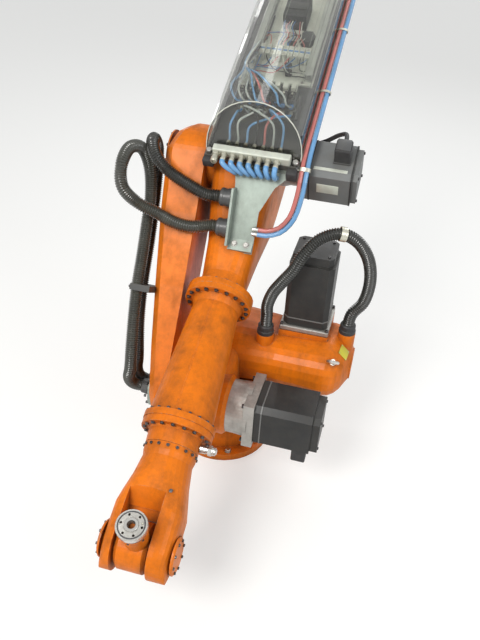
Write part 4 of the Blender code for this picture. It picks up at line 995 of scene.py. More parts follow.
@dataclass
class Column(SubAssembly):
    """The turning column: deck screws, details of two motors, the loom and a bare plate.

    Args:
        deck_top: The height of the deck.
        deck_radius: Its radius.
        shoulder: The Y and Z of the shoulder's axis.
        motor_ends: The X where the shoulder motor starts and ends.
        motor_half: Half its side.
        turning: The middle of the turning motor's foot.
        turning_half: Half its side.
        turning_length: Its length.
        loom_radius: The loom's radius over its ribs.
        loom: The loom's route.
        leads: The routes of the two motors' leads.
    """

    body: ClassVar[str] = "column"

    deck_top: float = 0.2786
    deck_radius: float = 0.152
    shoulder: tuple[float, float] = (-0.220, 0.315)
    motor_ends: tuple[float, float] = (0.1603, 0.3453)
    motor_half: float = 0.071
    turning: Point = (0.235, 0.060, 0.4846)
    turning_half: float = 0.066
    turning_length: float = 0.235
    loom_radius: float = 0.018
    loom: Sequence[Point] = (
        (0.127, -0.046, 0.470), (0.127, -0.046, 0.500), (0.127, -0.048, 0.535), (0.127, -0.050, 0.570),
        (0.140, -0.052, 0.615), (0.163, -0.052, 0.655), (0.190, -0.048, 0.697), (0.214, -0.037, 0.748),
        (0.250, -0.016, 0.790), (0.302, 0.002, 0.806), (0.350, 0.016, 0.782), (0.385, 0.028, 0.728),
        (0.400, 0.038, 0.655), (0.393, 0.043, 0.580), (0.366, 0.038, 0.535), (0.360, 0.035, 0.500),
        (0.360, 0.035, 0.470),
    )
    leads: Sequence[Sequence[Point]] = (
        ((0.294, -0.2165, 0.216), (0.294, -0.194, 0.214), (0.288, -0.150, 0.212), (0.272, -0.100, 0.222),
         (0.258, -0.060, 0.250), (0.255, -0.050, 0.280), (0.255, -0.050, 0.305)),
        ((0.235, 0.151, 0.6275), (0.235, 0.151, 0.600), (0.235, 0.160, 0.560), (0.235, 0.158, 0.515),
         (0.235, 0.146, 0.475), (0.235, 0.128, 0.440)),
    )

    LEAD_GLAND: ClassVar[Profile] = (
        (0.0, 0.0135), (0.009, 0.0135), (0.0105, 0.0115), (0.018, 0.0100), (0.020, 0.0076),
    )
    LOOM_BOOT: ClassVar[Profile] = (
        (0.0, 0.0182), (0.0, 0.0255), (0.010, 0.0255), (0.012, 0.0235), (0.026, 0.0235), (0.030, 0.0205),
        (0.030, 0.0182),
    )

    def dress(self) -> None:
        """Adds the pieces of the column."""
        self._deck()
        self._shoulder_motor()
        self._turning_motor()
        self._loom()
        self._plate()
        self._leads()

    def _deck(self) -> None:
        """The screws of the deck, left out where the casting or the motor covers them, and of the motor's plate."""
        places = [
            (at, up) for at, up in ring_places((0, 0, self.deck_top + 0.0005), UP, self.deck_radius - 0.0075, 24)
            if not (at.x > -0.09 and -0.12 < at.y < 0.15) and not (abs(at.x) < 0.11 and at.y < 0.0)
        ]
        self.add_screws("deck_screws", places, 0.0042, 0.004)
        middle = (self.motor_ends[0] - 0.0302, *self.shoulder)
        corners = four_places(middle, (0, 0.06384, 0), (0, 0, 0.06384), LEFT)
        self.add_screws("shoulder_plate_screws", corners, 0.0062, 0.007)

    def _shoulder_motor(self) -> None:
        """The seam and the end-cap screws of the shoulder motor."""
        start, end = self.motor_ends
        seam = square_band(self.motor_half * 1.004, self.motor_half * 0.22)
        seam = placed(seam, sideways((start + 0.018, *self.shoulder), 1))
        self.add("shoulder_motor_seam", seam, "dark_grey_motor")
        corners = four_places((end - 0.0002, *self.shoulder), (0, 0.048, 0), (0, 0, 0.048), RIGHT)
        self.add_screws("shoulder_cap_screws", corners, 0.0042, 0.004)

    def _turning_motor(self) -> None:
        """The seam and the screws of the turning motor."""
        x, y, z = self.turning
        seam = square_band(self.turning_half * 1.004, self.turning_half * 0.22)
        self.add("turning_motor_seam", placed(seam, Matrix.Translation((x, y, z + 0.024))), "dark_grey_motor")
        corners = four_places((x, y, z + self.turning_length - 0.0002), (0.044, 0, 0), (0, 0.044, 0), UP)
        self.add_screws("turning_cap_screws", corners, 0.0042, 0.004)
        corners = four_places((x, y, z - 0.0005), (0.068, 0, 0), (0, 0.068, 0), UP)
        self.add_screws("turning_flange_screws", corners, 0.0050, 0.006)

    def _loom(self) -> None:
        """The corrugated cable loom, its end boots and its clamp."""
        conduit = corrugated(self.loom, self.loom_radius, 0.0064)
        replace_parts(self.add("loom_conduit", conduit, "conduit_black", angle=SHARP_TUBE), "cable_loom")
        feet = (self.loom[0], self.loom[-1])
        boots = [placed(turned(self.LOOM_BOOT, 12, True), Matrix.Translation(foot)) for foot in feet]
        self.add("loom_boots", join(boots), "black_rubber")
        route = smooth_route(self.loom, 0.004)
        half_way = int(len(route) * 0.52)
        ahead = route[half_way + 1] - route[half_way]
        clamp = placed(band(-0.009, 0.009, 0.0182, 0.0205, 28), aim(route[half_way], ahead))
        self.add("loom_band", clamp, "zinc_clamp")

    def _plate(self) -> None:
        """A bare yellow plate on the pod's shoulder, with a rivet at each corner."""
        normal = Vector((0.68, -0.133, 0.721)).normalized()
        along = (Vector(REAR) - normal * normal.y).normalized()
        middle = Vector((0.3638, -0.0220, 0.4337)) + normal * 0.0004
        frame = Matrix.Translation(middle) @ axes(along.cross(normal), along, normal)
        plate = rounded_box((0.034, 0.040, 0.0012), (0, 0, 0), 0.0004)
        self.add("bare_yellow_plate", placed(plate, frame), "yellow_patch")
        corners = four_places((0, 0, 0.0005), (0.014, 0, 0), (0, 0.017, 0), UP)
        rivets = [(frame @ at, normal) for at, _ in corners]
        self.add_screws("yellow_plate_rivets", rivets, 0.0016, 0.0010, Head.PAN, "bright_steel")

    def _leads(self) -> None:
        """The leads of the shoulder motor and the turning motor, with their glands."""
        leads, glands = [], []
        for route in self.leads:
            points = smooth_route(route, 0.006)
            leads.append(tube(points, lambda i: 0.0068, 14))
            glands.append(placed(turned(self.LEAD_GLAND, 12), aim(points[0], points[1] - points[0])))
        self.add("motor_leads", join(leads), "black_rubber", angle=SHARP_TUBE)
        self.add("motor_lead_glands", join(glands), "gland_grey")


@dataclass
class Link(SubAssembly):
    """The link arm: its elbow cover, the riser conduits, their nuts and their clamps' screws.

    Args:
        length: From the shoulder's axis to the elbow's.
        conduit_radius: The risers' radius over their ribs.
        riser_a: The first riser's route.
        riser_b: The second riser's route.
    """

    body: ClassVar[str] = "link"

    length: float = 0.692
    conduit_radius: float = 0.018
    riser_a: Sequence[Point] = (
        (-0.176, 0.000, 0.000), (-0.196, 0.000, 0.000), (-0.218, -0.024, 0.006), (-0.223, -0.060, 0.026),
        (-0.216, -0.085, 0.060), (-0.219, -0.100, 0.130), (-0.227, -0.100, 0.210), (-0.237, -0.086, 0.290),
        (-0.243, -0.071, 0.370), (-0.248, -0.061, 0.440), (-0.250, -0.058, 0.470),
    )
    riser_b: Sequence[Point] = (
        (-0.176, 0.046, 0.012), (-0.196, 0.046, 0.012), (-0.218, 0.026, 0.022), (-0.223, -0.004, 0.048),
        (-0.217, -0.034, 0.090), (-0.220, -0.052, 0.150), (-0.228, -0.054, 0.220), (-0.238, -0.041, 0.300),
        (-0.244, -0.027, 0.370), (-0.249, -0.015, 0.440), (-0.251, -0.012, 0.470),
    )

    NUT: ClassVar[Profile] = (
        (0.0, 0.0182), (0.0, 0.0240), (0.008, 0.0240), (0.0085, 0.0225), (0.018, 0.0225), (0.0205, 0.0205),
        (0.0205, 0.0182),
    )
    ELBOW_COVER: ClassVar[Profile] = (
        (0.0, 0.066), (0.004, 0.066), (0.0055, 0.0635), (0.0055, 0.030), (0.0040, 0.026), (0.0040, 0.012),
        (0.0070, 0.0105), (0.0070, 0.002),
    )

    def dress(self) -> None:
        """Adds the pieces of the link arm."""
        routes = (self.riser_a, self.riser_b)
        for route, letter, finish in zip(routes, "ab", ("conduit_grey", "conduit_black")):
            conduit = corrugated(route, self.conduit_radius)
            riser = self.add("riser_conduit_" + letter, conduit, finish, angle=SHARP_TUBE)
            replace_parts(riser, "conduit_riser_" + letter)
        nuts = [placed(turned(self.NUT, 10, True), sideways(route[0], -1)) for route in routes]
        self.add("riser_gland_nuts", join(nuts), "gland_grey", "black_hose")
        places = [
            (at, out) for at, out in ring_places((-0.1755, 0.018, 0.0), LEFT, 0.0495, 8, 0.3)
            if min(math.dist(at[1:], route[0][1:]) for route in routes) > 0.029
        ]
        self.add_screws("riser_plate_screws", places, 0.0042, 0.0045)
        places = [((-0.2458, y, 0.2906), LEFT) for y in (-0.116, 0.006)]
        self.add_screws("riser_strap_screws", places, 0.0045, 0.005, Head.PAN)
        cover = placed(turned(self.ELBOW_COVER, 48), sideways((-0.2222, 0.0, self.length), -1))
        self.add("elbow_bearing_cover", cover, "orange_paint")
        places = ring_places((-0.2275, 0.0, self.length), LEFT, 0.0565, 8, 0.2)
        self.add_screws("elbow_cover_screws", places, 0.0045, 0.0045)


@dataclass
class Arm(SubAssembly):
    """The arm: forearm, conduit loops, hose bracket, air tubes, elbow motor and wrist motors.

    Args:
        ring_width: The width of each bolting ring.
        top_reach: The upper ring's reach behind the wrist centre.
        tip_reach: The lower ring's reach.
        tip_radius: The forearm's radius at its lower ring.
        top_radius: Its radius at the upper one.
        conduit_radius: The loops' radius over their ribs.
        mouth: The X where the bracket's conduits end.
        loop_a: The first loop's route, up to the bracket.
        loop_b: The second loop's route.
        red_tube: The route of the red air tube.
        elbow_lead: The route of the elbow motor's lead.
    """

    body: ClassVar[str] = "arm"

    ring_width: float = 0.017
    top_reach: float = 0.694
    tip_reach: float = 0.303
    tip_radius: float = 0.085
    top_radius: float = 0.0655
    conduit_radius: float = 0.018
    mouth: float = -0.0343
    loop_a: Sequence[Point] = (
        (-0.25003, -0.21914, -0.06673), (-0.2512, -0.2030, -0.0589), (-0.253, -0.152, -0.027),
        (-0.262, -0.097, 0.030), (-0.280, -0.075, 0.085), (-0.298, -0.110, 0.122), (-0.303, -0.168, 0.115),
        (-0.297, -0.205, 0.070), (-0.262, -0.212, 0.020), (-0.204, -0.218, -0.006), (-0.165, -0.230, -0.012),
        (-0.130, -0.235, -0.016), (-0.095, -0.230, -0.020),
    )
    loop_b: Sequence[Point] = (
        (-0.25103, -0.19504, -0.10593), (-0.2522, -0.1789, -0.0981), (-0.254, -0.128, -0.062),
        (-0.256, -0.070, -0.012), (-0.258, -0.030, 0.040), (-0.258, -0.034, 0.086), (-0.247, -0.072, 0.108),
        (-0.222, -0.110, 0.096), (-0.176, -0.132, 0.066), (-0.090, -0.155, 0.038),
    )
    red_tube: Sequence[Point] = (
        (0.066, -0.205, -0.022), (0.100, -0.206, -0.020), (0.135, -0.196, -0.010), (0.160, -0.168, 0.014),
        (0.170, -0.126, 0.052), (0.172, -0.088, 0.088), (0.172, -0.040, 0.108), (0.172, 0.030, 0.114),
        (0.172, 0.300, 0.114), (0.172, 0.600, 0.114),
    )
    elbow_lead: Sequence[Point] = (
        (0.268, 0.020, 0.104), (0.268, 0.044, 0.104), (0.262, 0.074, 0.094), (0.238, 0.094, 0.064),
        (0.203, 0.094, 0.034), (0.160, 0.088, 0.016), (0.112, 0.082, 0.008), (0.080, 0.080, 0.006),
    )

    FITTING_NUT: ClassVar[Profile] = ((0.0, 0.0112), (0.0, 0.0140), (0.0085, 0.0140), (0.0095, 0.0125))
    FITTING_BARREL: ClassVar[Profile] = (
        (0.0, 0.0116), (0.0120, 0.0116), (0.0135, 0.0105), (0.0180, 0.0105), (0.0180, 0.0075), (0.0210, 0.0070),
        (0.0210, 0.0020),
    )
    BRACKET_GLAND: ClassVar[Profile] = (
        (0.0005, 0.0217), (0.0005, 0.0262), (0.011, 0.0262), (0.0115, 0.0242), (0.0225, 0.0242), (0.0230, 0.0255),
        (0.0295, 0.0255), (0.0330, 0.0215), (0.0330, 0.0185), (0.0302, 0.0185), (0.0302, 0.0217),
    )
    FERRULE: ClassVar[Profile] = (
        (-0.002, 0.0060), (-0.002, 0.0067), (0.004, 0.0067), (0.0045, 0.0066), (0.013, 0.0072), (0.014, 0.0066),
    )
    LEAD_GLAND: ClassVar[Profile] = ((0.0, 0.0125), (0.008, 0.0125), (0.0095, 0.0105), (0.016, 0.0095), (0.018, 0.007))

    def dress(self) -> None:
        """Adds the pieces of the arm."""
        self._ring_screws()
        self._parting_line()
        self._fitting()
        self._loops()
        self._bracket()
        self._air_tubes()
        self._elbow_motor()
        self._wrist_motors()

    def _ring_screws(self) -> None:
        """The screws round the bolting rings at both ends of the forearm, and round the neck."""
        top, tip, width = self.top_reach, self.tip_reach, self.ring_width
        for name, reach, normal, radius, count, size, height, head in (
            ("top_front", top - width, FRONT, 0.0835, 18, 0.0052, 0.0055, Head.HEX),
            ("top_back", top + width + 0.0003, REAR, 0.0835, 18, 0.0052, 0.0055, Head.HEX),
            ("tip_back", tip + width, REAR, 0.0895, 20, 0.0042, 0.0048, Head.SOCKET),
            ("neck", tip - 0.018, FRONT, 0.0835, 18, 0.0050, 0.0055, Head.SOCKET),
        ):
            places = ring_places(self.kit.chain.station(reach), normal, radius, count, 0.11)
            self.add_screws("ring_screws_" + name, places, size, height, head)

    def _forearm_radius(self, reach: float) -> float:
        """The forearm's radius at a reach: a short steep taper at its tip, then a long one.

        Args:
            reach: The distance behind the wrist centre.

        Returns:
            The radius.
        """
        full = self.top_reach - self.tip_reach
        share, bend = (reach - self.tip_reach) / full, 0.20
        knee = self.tip_radius * 0.965
        if share <= bend:
            return self.tip_radius * (1 - 0.035 * share / bend)
        return knee + (self.top_radius - knee) * (share - bend) / (1 - self.ring_width * 2.2 / full - bend)

    def _parting_line(self) -> None:
        """The casting's parting line along the top and the underside of the forearm."""
        low, high = self.tip_reach + self.ring_width + 0.002, self.top_reach - self.ring_width * 2.2
        ridge = ((-0.0032, -0.001), (-0.0012, 0.0018), (0.0012, 0.0018), (0.0032, -0.001))
        strips = []
        for side in SIDES:
            rings = []
            for k in range(17):
                reach = low + (high - low) * k / 16
                place = self.kit.chain.station(reach, 0.0, side * (self._forearm_radius(reach) - 0.0006))
                rings.append([place + Vector((x, 0, side * z)) for x, z in ridge])
            strips.append(loft(rings))
        self.add("forearm_parting_line", join(strips), "orange_paint", angle=SHARP_TUBE)

    def _fitting(self) -> None:
        """The silver pipe fitting beside the neck."""
        fitting = join([turned(self.FITTING_NUT, 6), turned(self.FITTING_BARREL, 20)])
        place = sideways(self.kit.chain.station(0.2644, 0.092), 1)
        self.add("neck_fitting_nut", placed(fitting, place), "bright_steel")

    @staticmethod
    def _on_bracket(share: float, off: float = 0.0) -> tuple[float, float]:
        """Where a place on the hose bracket's leaning face is.

        Args:
            share: The share of the face's length.
            off: How far the place is off the face.

        Returns:
            Its Y and Z.
        """
        rise = math.radians(BRACKET_RISE)
        along = BRACKET_HEIGHT / math.sin(rise) * share
        y = -0.252 + along * math.cos(rise) - off * math.sin(rise)
        return y, -0.077 + along * math.sin(rise) + off * math.cos(rise)

    def _loops(self) -> None:
        """The conduits' loops across the elbow, from the link to the arm."""
        frame = self.kit.chain.frames[self.body]
        routes = zip((self.loop_a, self.loop_b), "ab", GLAND_SHARES, ("conduit_grey", "conduit_black"))
        for route, letter, share, finish in routes:
            end = (self.mouth, *self._on_bracket(share, GLAND_OFF))
            points = [*route, (self.mouth - self.conduit_radius, *end[1:]), end]
            mesh = placed(corrugated(points, self.conduit_radius), frame)
            loop = new_object("loop_conduit_" + letter, mesh, self.kit.palette[finish], SHARP_TUBE)
            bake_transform(loop)
            self.kit.palette.slot(finish)
            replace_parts(loop, "conduit_loop_" + letter)
            LOG.info("%s bends from link to arm", loop.name)

    def _bracket(self) -> None:
        """The bracket's bolts and its conduit glands."""
        y, z = self._on_bracket(0.09)
        places = [((x, y - 0.0022, z + 0.0068), (0, -0.309, 0.951)) for x in (0.017, 0.051)]
        self.add_screws("bracket_bolts", places, 0.0072, 0.0065, Head.HEX, "cast_alloy")
        glands = []
        for share in GLAND_SHARES:
            place = sideways((-0.004, *self._on_bracket(share, GLAND_OFF)), -1)
            glands.append(placed(turned(self.BRACKET_GLAND, 12, True), place))
        self.add("bracket_gland_nuts", join(glands), "gland_grey", "black_hose")

    def _air_tubes(self) -> None:
        """Ferrules at the air tubes' lower ends, and the straps that hold both tubes."""
        route = smooth_route(self.red_tube, 0.004)
        beside = Vector((0, -0.3, 1))
        straps, screws = [], []
        for share, tall in ((0.262, 0.010), (0.56, 0.008), (0.84, 0.008)):
            index = round(len(route) * share)
            ahead = (route[index + 1] - route[index - 1]).normalized()
            side = ahead.cross(beside).normalized()
            frame = Matrix.Translation(route[index] + side * 0.00675) @ axes(side, ahead.cross(side), ahead)
            strap = band(-tall / 2, tall / 2, 0.0150, 0.0168, 28)
            straps.append(placed(strap, frame @ Matrix.Diagonal((1.0, 0.56, 1.0, 1.0))))
            straps.append(placed(rounded_box((0.010, 0.010, tall * 0.9), (-0.020, 0.0, 0.0), 0.001), frame))
            screws.append((frame @ Vector((-0.020, -0.005, 0.0)), frame.to_3x3() @ Vector(FRONT)))
        self.add("air_tube_straps", join(straps), "zinc_clamp")
        self.add_screws("air_strap_screws", screws, 0.0036, 0.003, Head.PAN)
        start = Vector(self.red_tube[0])
        ahead = (Vector(self.red_tube[1]) - start).normalized()
        step = ahead.cross(beside).normalized() * 0.0135
        ends = [placed(turned(self.FERRULE, 16), aim(place, ahead)) for place in (start, start + step)]
        self.add("air_tube_ferrules", join(ends), "bright_steel")

    def _elbow_motor(self) -> None:
        """Seams, screws, the pale strips, the lead and the plug of the elbow motor."""
        seams = [placed(square_band(0.0643, 0.014), sideways((x, 0.0, 0.016), 1)) for x in (0.186, 0.300)]
        self.add("elbow_motor_seams", join(seams), "black_motor")
        corners = four_places((0.3184, 0, 0.016), (0, 0.046, 0), (0, 0, 0.046), RIGHT)
        self.add_screws("elbow_motor_screws", corners, 0.0042, 0.004)
        strips = boxes((
            ((0.092, 0.010, 0.0016), (0.243, -0.046, 0.0808), 0.0005),
            ((0.060, 0.0016, 0.034), (0.240, -0.0647, 0.022), 0.0005),
        ))
        self.add("elbow_motor_strips", join(strips), "pale_bar")
        self.add("elbow_motor_lead", cable(self.elbow_lead, 0.006, 0.0062, 14), "black_rubber", angle=SHARP_TUBE)
        plug = boxes((
            ((0.047, 0.047, 0.005), (0.2683, 0.0, 0.0835), 0.001),
            ((0.038, 0.038, 0.006), (0.2683, 0.0, 0.1320), 0.002),
        ))
        plug.append(placed(turned(self.LEAD_GLAND, 12), aim((0.268, 0.0215, 0.104), REAR)))
        self.add("elbow_plug_details", join(plug), "gland_grey")

    def _wrist_motors(self) -> None:
        """End bands, screws, plugs and leads of the three wrist motors."""
        bands, plugs, leads, places = [], [], [], []
        for x, z, out in ((-0.050, -0.125, (-0.25, 0, -1)), (0.050, -0.125, (0.25, 0, -1)), (0.0, -0.039, UP)):
            bands += [placed(band(0.0, 0.003, 0.0425, 0.0440, 36), aim((x, y, z), REAR)) for y in (0.222, 0.318)]
            places += ring_places((x, 0.3501, z), REAR, 0.0265, 4, 0.78)
            outward = Vector(out).normalized()
            foot = Vector((x, 0.292, z)) + outward * 0.040
            plugs.append(placed(rounded_box((0.026, 0.030, 0.022), (0, 0, 0.008), 0.003), aim(foot, outward)))
            tip = foot + outward * 0.010 + Vector((0, -0.014, 0))
            lead = [
                tip, tip + Vector((0, -0.018, 0)), tip + Vector((0, -0.040, -0.002)) - outward * 0.004,
                tip + Vector((0, -0.062, 0)) - outward * 0.014, Vector((tip.x * 0.86, 0.186, tip.z)) - outward * 0.022,
            ]
            leads.append(cable(lead, 0.006, 0.0052, 12))
        self.add("wrist_motor_bands", join(bands), "dark_grey_motor")
        self.add("wrist_motor_plugs", join(plugs), "gland_grey")
        self.add("wrist_motor_leads", join(leads), "black_rubber", angle=SHARP_TUBE)
        self.add_screws("wrist_motor_screws", places, 0.0038, 0.0035)


@dataclass
class ValveBox(SubAssembly):
    """The valve box: hose fittings, stubs, screws, the hood's lip, and what lies under the clear hood.

    Args:
        left: The tray's left side.
        right: Its right side.
        front: The hose bar's face.
        rear: The tray's rear end.
        middle: The middle across the tray.
        floor: The tray's floor.
        rim: The hood's lower edge.
        bar_height: The height of the bar's fittings.
        bar_pitch: The distance between them.
        valve_pitch: The distance between the valves.
        terminal_pitch: The distance between the terminals.
        plate_top: The mounting plate's upper face.
        bank: The valve bank's middle.
        bank_top: Its upper face.
        tube_radius: The radius of the thin air tubes.
        wire_radius: The radius of the wires.
    """

    body: ClassVar[str] = "arm"

    left: float = -0.098
    right: float = 0.164
    front: float = -0.078
    rear: float = 0.720
    middle: float = 0.033
    floor: float = 0.0923
    rim: float = 0.104
    bar_height: float = 0.1173
    bar_pitch: float = 0.024
    valve_pitch: float = 0.023
    terminal_pitch: float = 0.0165
    plate_top: float = 0.0987
    bank: float = 0.130
    bank_top: float = 0.161
    tube_radius: float = 0.0032
    wire_radius: float = 0.0015

    NUT: ClassVar[Profile] = ((0.0002, 0.0078), (0.0002, 0.0098), (0.0070, 0.0098), (0.0078, 0.0086))
    BARREL: ClassVar[Profile] = (
        (0.0002, 0.0078), (0.0090, 0.0078), (0.0095, 0.0068), (0.0170, 0.0068), (0.0175, 0.0078), (0.0215, 0.0078),
        (0.0232, 0.0060),
    )
    END_NUT: ClassVar[Profile] = ((0.0, 0.0120), (0.0080, 0.0120), (0.0090, 0.0105))
    END_BARREL: ClassVar[Profile] = (
        (0.0, 0.0085), (0.0180, 0.0085), (0.0185, 0.0098), (0.0300, 0.0098), (0.0320, 0.0080), (0.0320, 0.0045),
        (0.0280, 0.0045),
    )
    THUMB: ClassVar[Profile] = ((0.0, 0.0045), (0.010, 0.0045), (0.010, 0.0082), (0.018, 0.0082), (0.020, 0.0066))
    KNOB: ClassVar[Profile] = ((0.0, 0.0030), (0.003, 0.0030), (0.0035, 0.0022))
    PUSH_IN: ClassVar[Profile] = ((0.0, 0.0062), (0.006, 0.0062), (0.0065, 0.0054), (0.010, 0.0054))
    REGULATOR: ClassVar[Profile] = ((0.0, 0.010), (0.022, 0.010), (0.024, 0.013), (0.036, 0.013), (0.040, 0.011))
    BULKHEAD: ClassVar[Profile] = ((0.0, 0.0058), (0.006, 0.0058), (0.0065, 0.0048), (0.010, 0.0048))
    HEX_MODULE: ClassVar[Profile] = ((0.0, 0.026), (0.020, 0.026), (0.023, 0.023), (0.023, 0.006))
    TERMINAL_SCREW: ClassVar[Profile] = ((0.0, 0.0034), (0.0015, 0.0034), (0.0018, 0.0026))

    def dress(self) -> None:
        """Adds the pieces of the valve box."""
        self._fittings()
        self._tray_screws()
        self._hood_edges()
        self._valves()
        self._tubes()
        self._plate()
        self._wires()

    def _across(self, count: int, pitch: float) -> list[float]:
        """Places across the tray, even about its middle."""
        return [self.middle + (i - (count - 1) / 2) * pitch for i in range(count)]

    def _fittings(self) -> None:
        """The silver fittings on the bar, and the blue hose stubs that they carry."""
        fittings, stubs = [], []
        for x in self._across(7, self.bar_pitch):
            place = aim((x, self.front, self.bar_height), FRONT)
            fittings += [placed(turned(self.NUT, 6), place), placed(turned(self.BARREL, 16), place)]
            low = 0.050 + (x - self.middle) * 0.78
            bend = (
                (x, 0.0225, 0.0), (x, 0.0285, 0.001), (x * 0.6 + low * 0.4, 0.0355, 0.009), (low, 0.0360, 0.022),
                (low, 0.0290, 0.034), (low, 0.0180, 0.043),
            )
            route = [(across, self.front - out, self.bar_height - down) for across, out, down in bend]
            stubs.append(cable(route, 0.003, 0.0072, 12))
        place = aim((self.middle - 4 * self.bar_pitch + 0.001, self.front + 0.001, self.bar_height - 0.001), FRONT)
        fittings += [placed(turned(self.END_NUT, 6), place), placed(turned(self.END_BARREL, 20), place)]
        self.add("hose_fittings", join(fittings), "zinc_clamp")
        self.add("blue_hose_stubs", join(stubs), "blue_tube", angle=SHARP_TUBE)

    def _tray_screws(self) -> None:
        """Thumb screws at the bar's ends, corner blocks, and the screws along both edges of the tray."""
        height = self.floor + 0.002
        thumbs = [placed(turned(self.THUMB, 14), Matrix.Translation((x, -0.0645, height))) for x in (-0.086, 0.152)]
        self.add("bar_end_screws", join(thumbs), "bright_steel")
        blocks = boxes((
            ((0.032, 0.020, 0.024), (-0.084, self.front - 0.0098, 0.090), 0.004),
            ((0.030, 0.024, 0.030), (0.147, self.front - 0.0118, 0.088), 0.005),
        ))
        self.add("tray_corner_blocks", join(blocks), "black_rubber", "black_motor")
        edges = ((self.left, LEFT), (self.right, RIGHT))
        places = [((x, -0.030 + 0.142 * k, 0.0965), out) for x, out in edges for k in range(6)]
        self.add_screws("tray_edge_screws", places, 0.0046, 0.0038, Head.PAN, "bright_steel")

    def _lip_points(self) -> list[Vector]:
        """Follows the edge between the hood's leaning end and its vault.

        Returns:
            Points along the outer edge, from left to right.
        """
        inverse = self.kit.chain.frames[self.body].inverted()
        turn = inverse.to_3x3()
        scratch = bmesh.new()
        scratch.from_mesh(self.kit.nodes["valve_hood"].data)
        bmesh.ops.remove_doubles(scratch, verts=scratch.verts, dist=0.00005)
        scratch.normal_update()
        lean = Vector((0.0, -0.908, 0.419))
        points: list[Vector] = []
        for edge in scratch.edges:
            if len(edge.link_faces) != 2:
                continue
            normals = [turn @ face.normal for face in edge.link_faces]
            leaning = [abs(normal.dot(lean)) > 0.97 for normal in normals]
            if leaning[0] == leaning[1]:
                continue
            other = normals[1] if leaning[0] else normals[0]
            if abs(other.y) < 0.3 and other.z > -0.5:
                points += [inverse @ vert.co for vert in edge.verts]
        scratch.free()
        outer = [p for p in points if p.y < self.front + 0.0268 + 0.060 * (p.z - self.rim) / 0.130]
        lip: list[Vector] = []
        for p in sorted(outer, key=lambda q: -math.atan2(q.z - self.rim, q.x - self.middle)):
            if not lip or (p - lip[-1]).length > 0.002:
                lip.append(p)
        return lip

    def _hood_edges(self) -> None:
        """The pale lip where the hood's leaning end meets its vault, and the hood's bottom flanges."""
        lip = tube(self._lip_points(), lambda i: 0.0015, 8)
        self.add("hood_lip", lip, "white_plastic", "clear_plastic", SHARP_TUBE)
        size, y = (0.0016, self.rear + 0.050, 0.006), (self.rear - 0.052) / 2
        strips = boxes((size, (x, y, 0.1075), 0.0005) for x in (self.left - 0.0010, self.right + 0.0010))
        self.add("hood_flanges", join(strips), "pale_bar", "clear_plastic")

    def _valves(self) -> None:
        """Coils, caps and push-in fittings of the valves, and a regulator beside them."""
        white, blue, steel, dark = [], [], [], []
        for x in self._across(7, self.valve_pitch):
            dark.append(rounded_box((0.0150, 0.018, 0.010), (x, self.bank - 0.014, self.bank_top + 0.005), 0.0015))
            white.append(rounded_box((0.0150, 0.020, 0.016), (x, self.bank + 0.012, self.bank_top + 0.008), 0.0015))
            knob = Matrix.Translation((x, self.bank - 0.014, self.bank_top + 0.010))
            steel.append(placed(turned(self.KNOB, 10), knob))
            for row, back, z in ((steel, 0.0302, 0.118), (blue, 0.0252, 0.140)):
                row.append(placed(turned(self.PUSH_IN, 12), aim((x, self.bank - back, z), FRONT)))
        steel.append(placed(turned(self.REGULATOR, 16), aim((-0.058, 0.200, self.floor + 0.004), UP)))
        blue.append(rounded_box((0.020, 0.026, 0.026), (-0.030, 0.196, self.floor + 0.014), 0.003))
        white += boxes((
            ((0.026, 0.040, 0.030), (-0.057, 0.205, self.floor + 0.016), 0.003),
            ((0.018, 0.030, 0.022), (-0.057, 0.252, self.floor + 0.012), 0.002),
        ))
        self.add("valve_coils", join(white), "white_plastic")
        self.add("valve_caps", join(dark), "black_tray")
        self.add("valve_fittings", join(steel), "zinc_clamp")
        self.add("valve_blue_fittings", join(blue), "blue_plastic")

    def _add_by_finish(self, name: str, sets: dict[str, list[Mesh]]) -> None:
        """Adds one piece for each finish, with the finish's first word at the end of its name."""
        for finish, meshes in sets.items():
            self.add(name + finish.split("_")[0], join(meshes), finish, angle=SHARP_TUBE)

    def _tubes(self) -> None:
        """The thin air tubes between the bar and the valves, and those that run on to the rear."""
        draw = random.Random(31).uniform
        sets: dict[str, list[Mesh]] = {"blue_tube": [], "clear_tube": [], "red_tube": [], "black_rubber": []}
        short = ("blue_tube", "clear_tube", "blue_tube", "black_rubber", "red_tube", "clear_tube", "blue_tube")
        long = (
            "blue_tube", "clear_tube", "clear_tube", "blue_tube", "red_tube", "black_rubber", "blue_tube", "clear_tube",
        )
        valves = self._across(7, self.valve_pitch)
        bulkheads = []
        for i, (x, kind) in enumerate(zip(self._across(7, self.bar_pitch), short)):
            to = valves[i * 3 % 7]
            bulkheads.append(placed(turned(self.BULKHEAD, 12), aim((x, -0.0418, 0.1185), REAR)))
            high = 0.150 + draw(0.0, 0.022)
            route = [
                (x, -0.034, 0.1185), (x, -0.022, 0.1190), (x + draw(-0.006, 0.006), 0.006, high - 0.010),
                ((x + to) / 2, 0.032, high), (to + draw(-0.004, 0.004), 0.062, high - 0.012),
                (to, 0.080, 0.1195), (to, 0.093, 0.118),
            ]
            sets[kind].append(cable(route, 0.004, self.tube_radius, 10))
        for k, (x, kind) in enumerate(zip(self._across(8, 0.020), long)):
            row, end = k % 3, 0.012 * k
            far = -0.050 + 0.004 * row
            route = [
                (x, 0.108, 0.140), (x, 0.096, 0.142), (x - 0.010, 0.078, 0.165 + 0.004 * row),
                (x - 0.024, 0.100, 0.190 - 0.003 * (k % 4)), (x * 0.4 + far * 0.6, 0.150, 0.192 - 0.004 * row),
                (far, 0.200, 0.172), (far, 0.250 + end, 0.140), (far, 0.290 + end, 0.112),
                (far + 0.004, 0.330 + end, 0.106), (far + 0.004, 0.500, 0.104),
            ]
            sets[kind].append(cable(route, 0.006, self.tube_radius, 8))
        self._add_by_finish("valve_tubes_", sets)
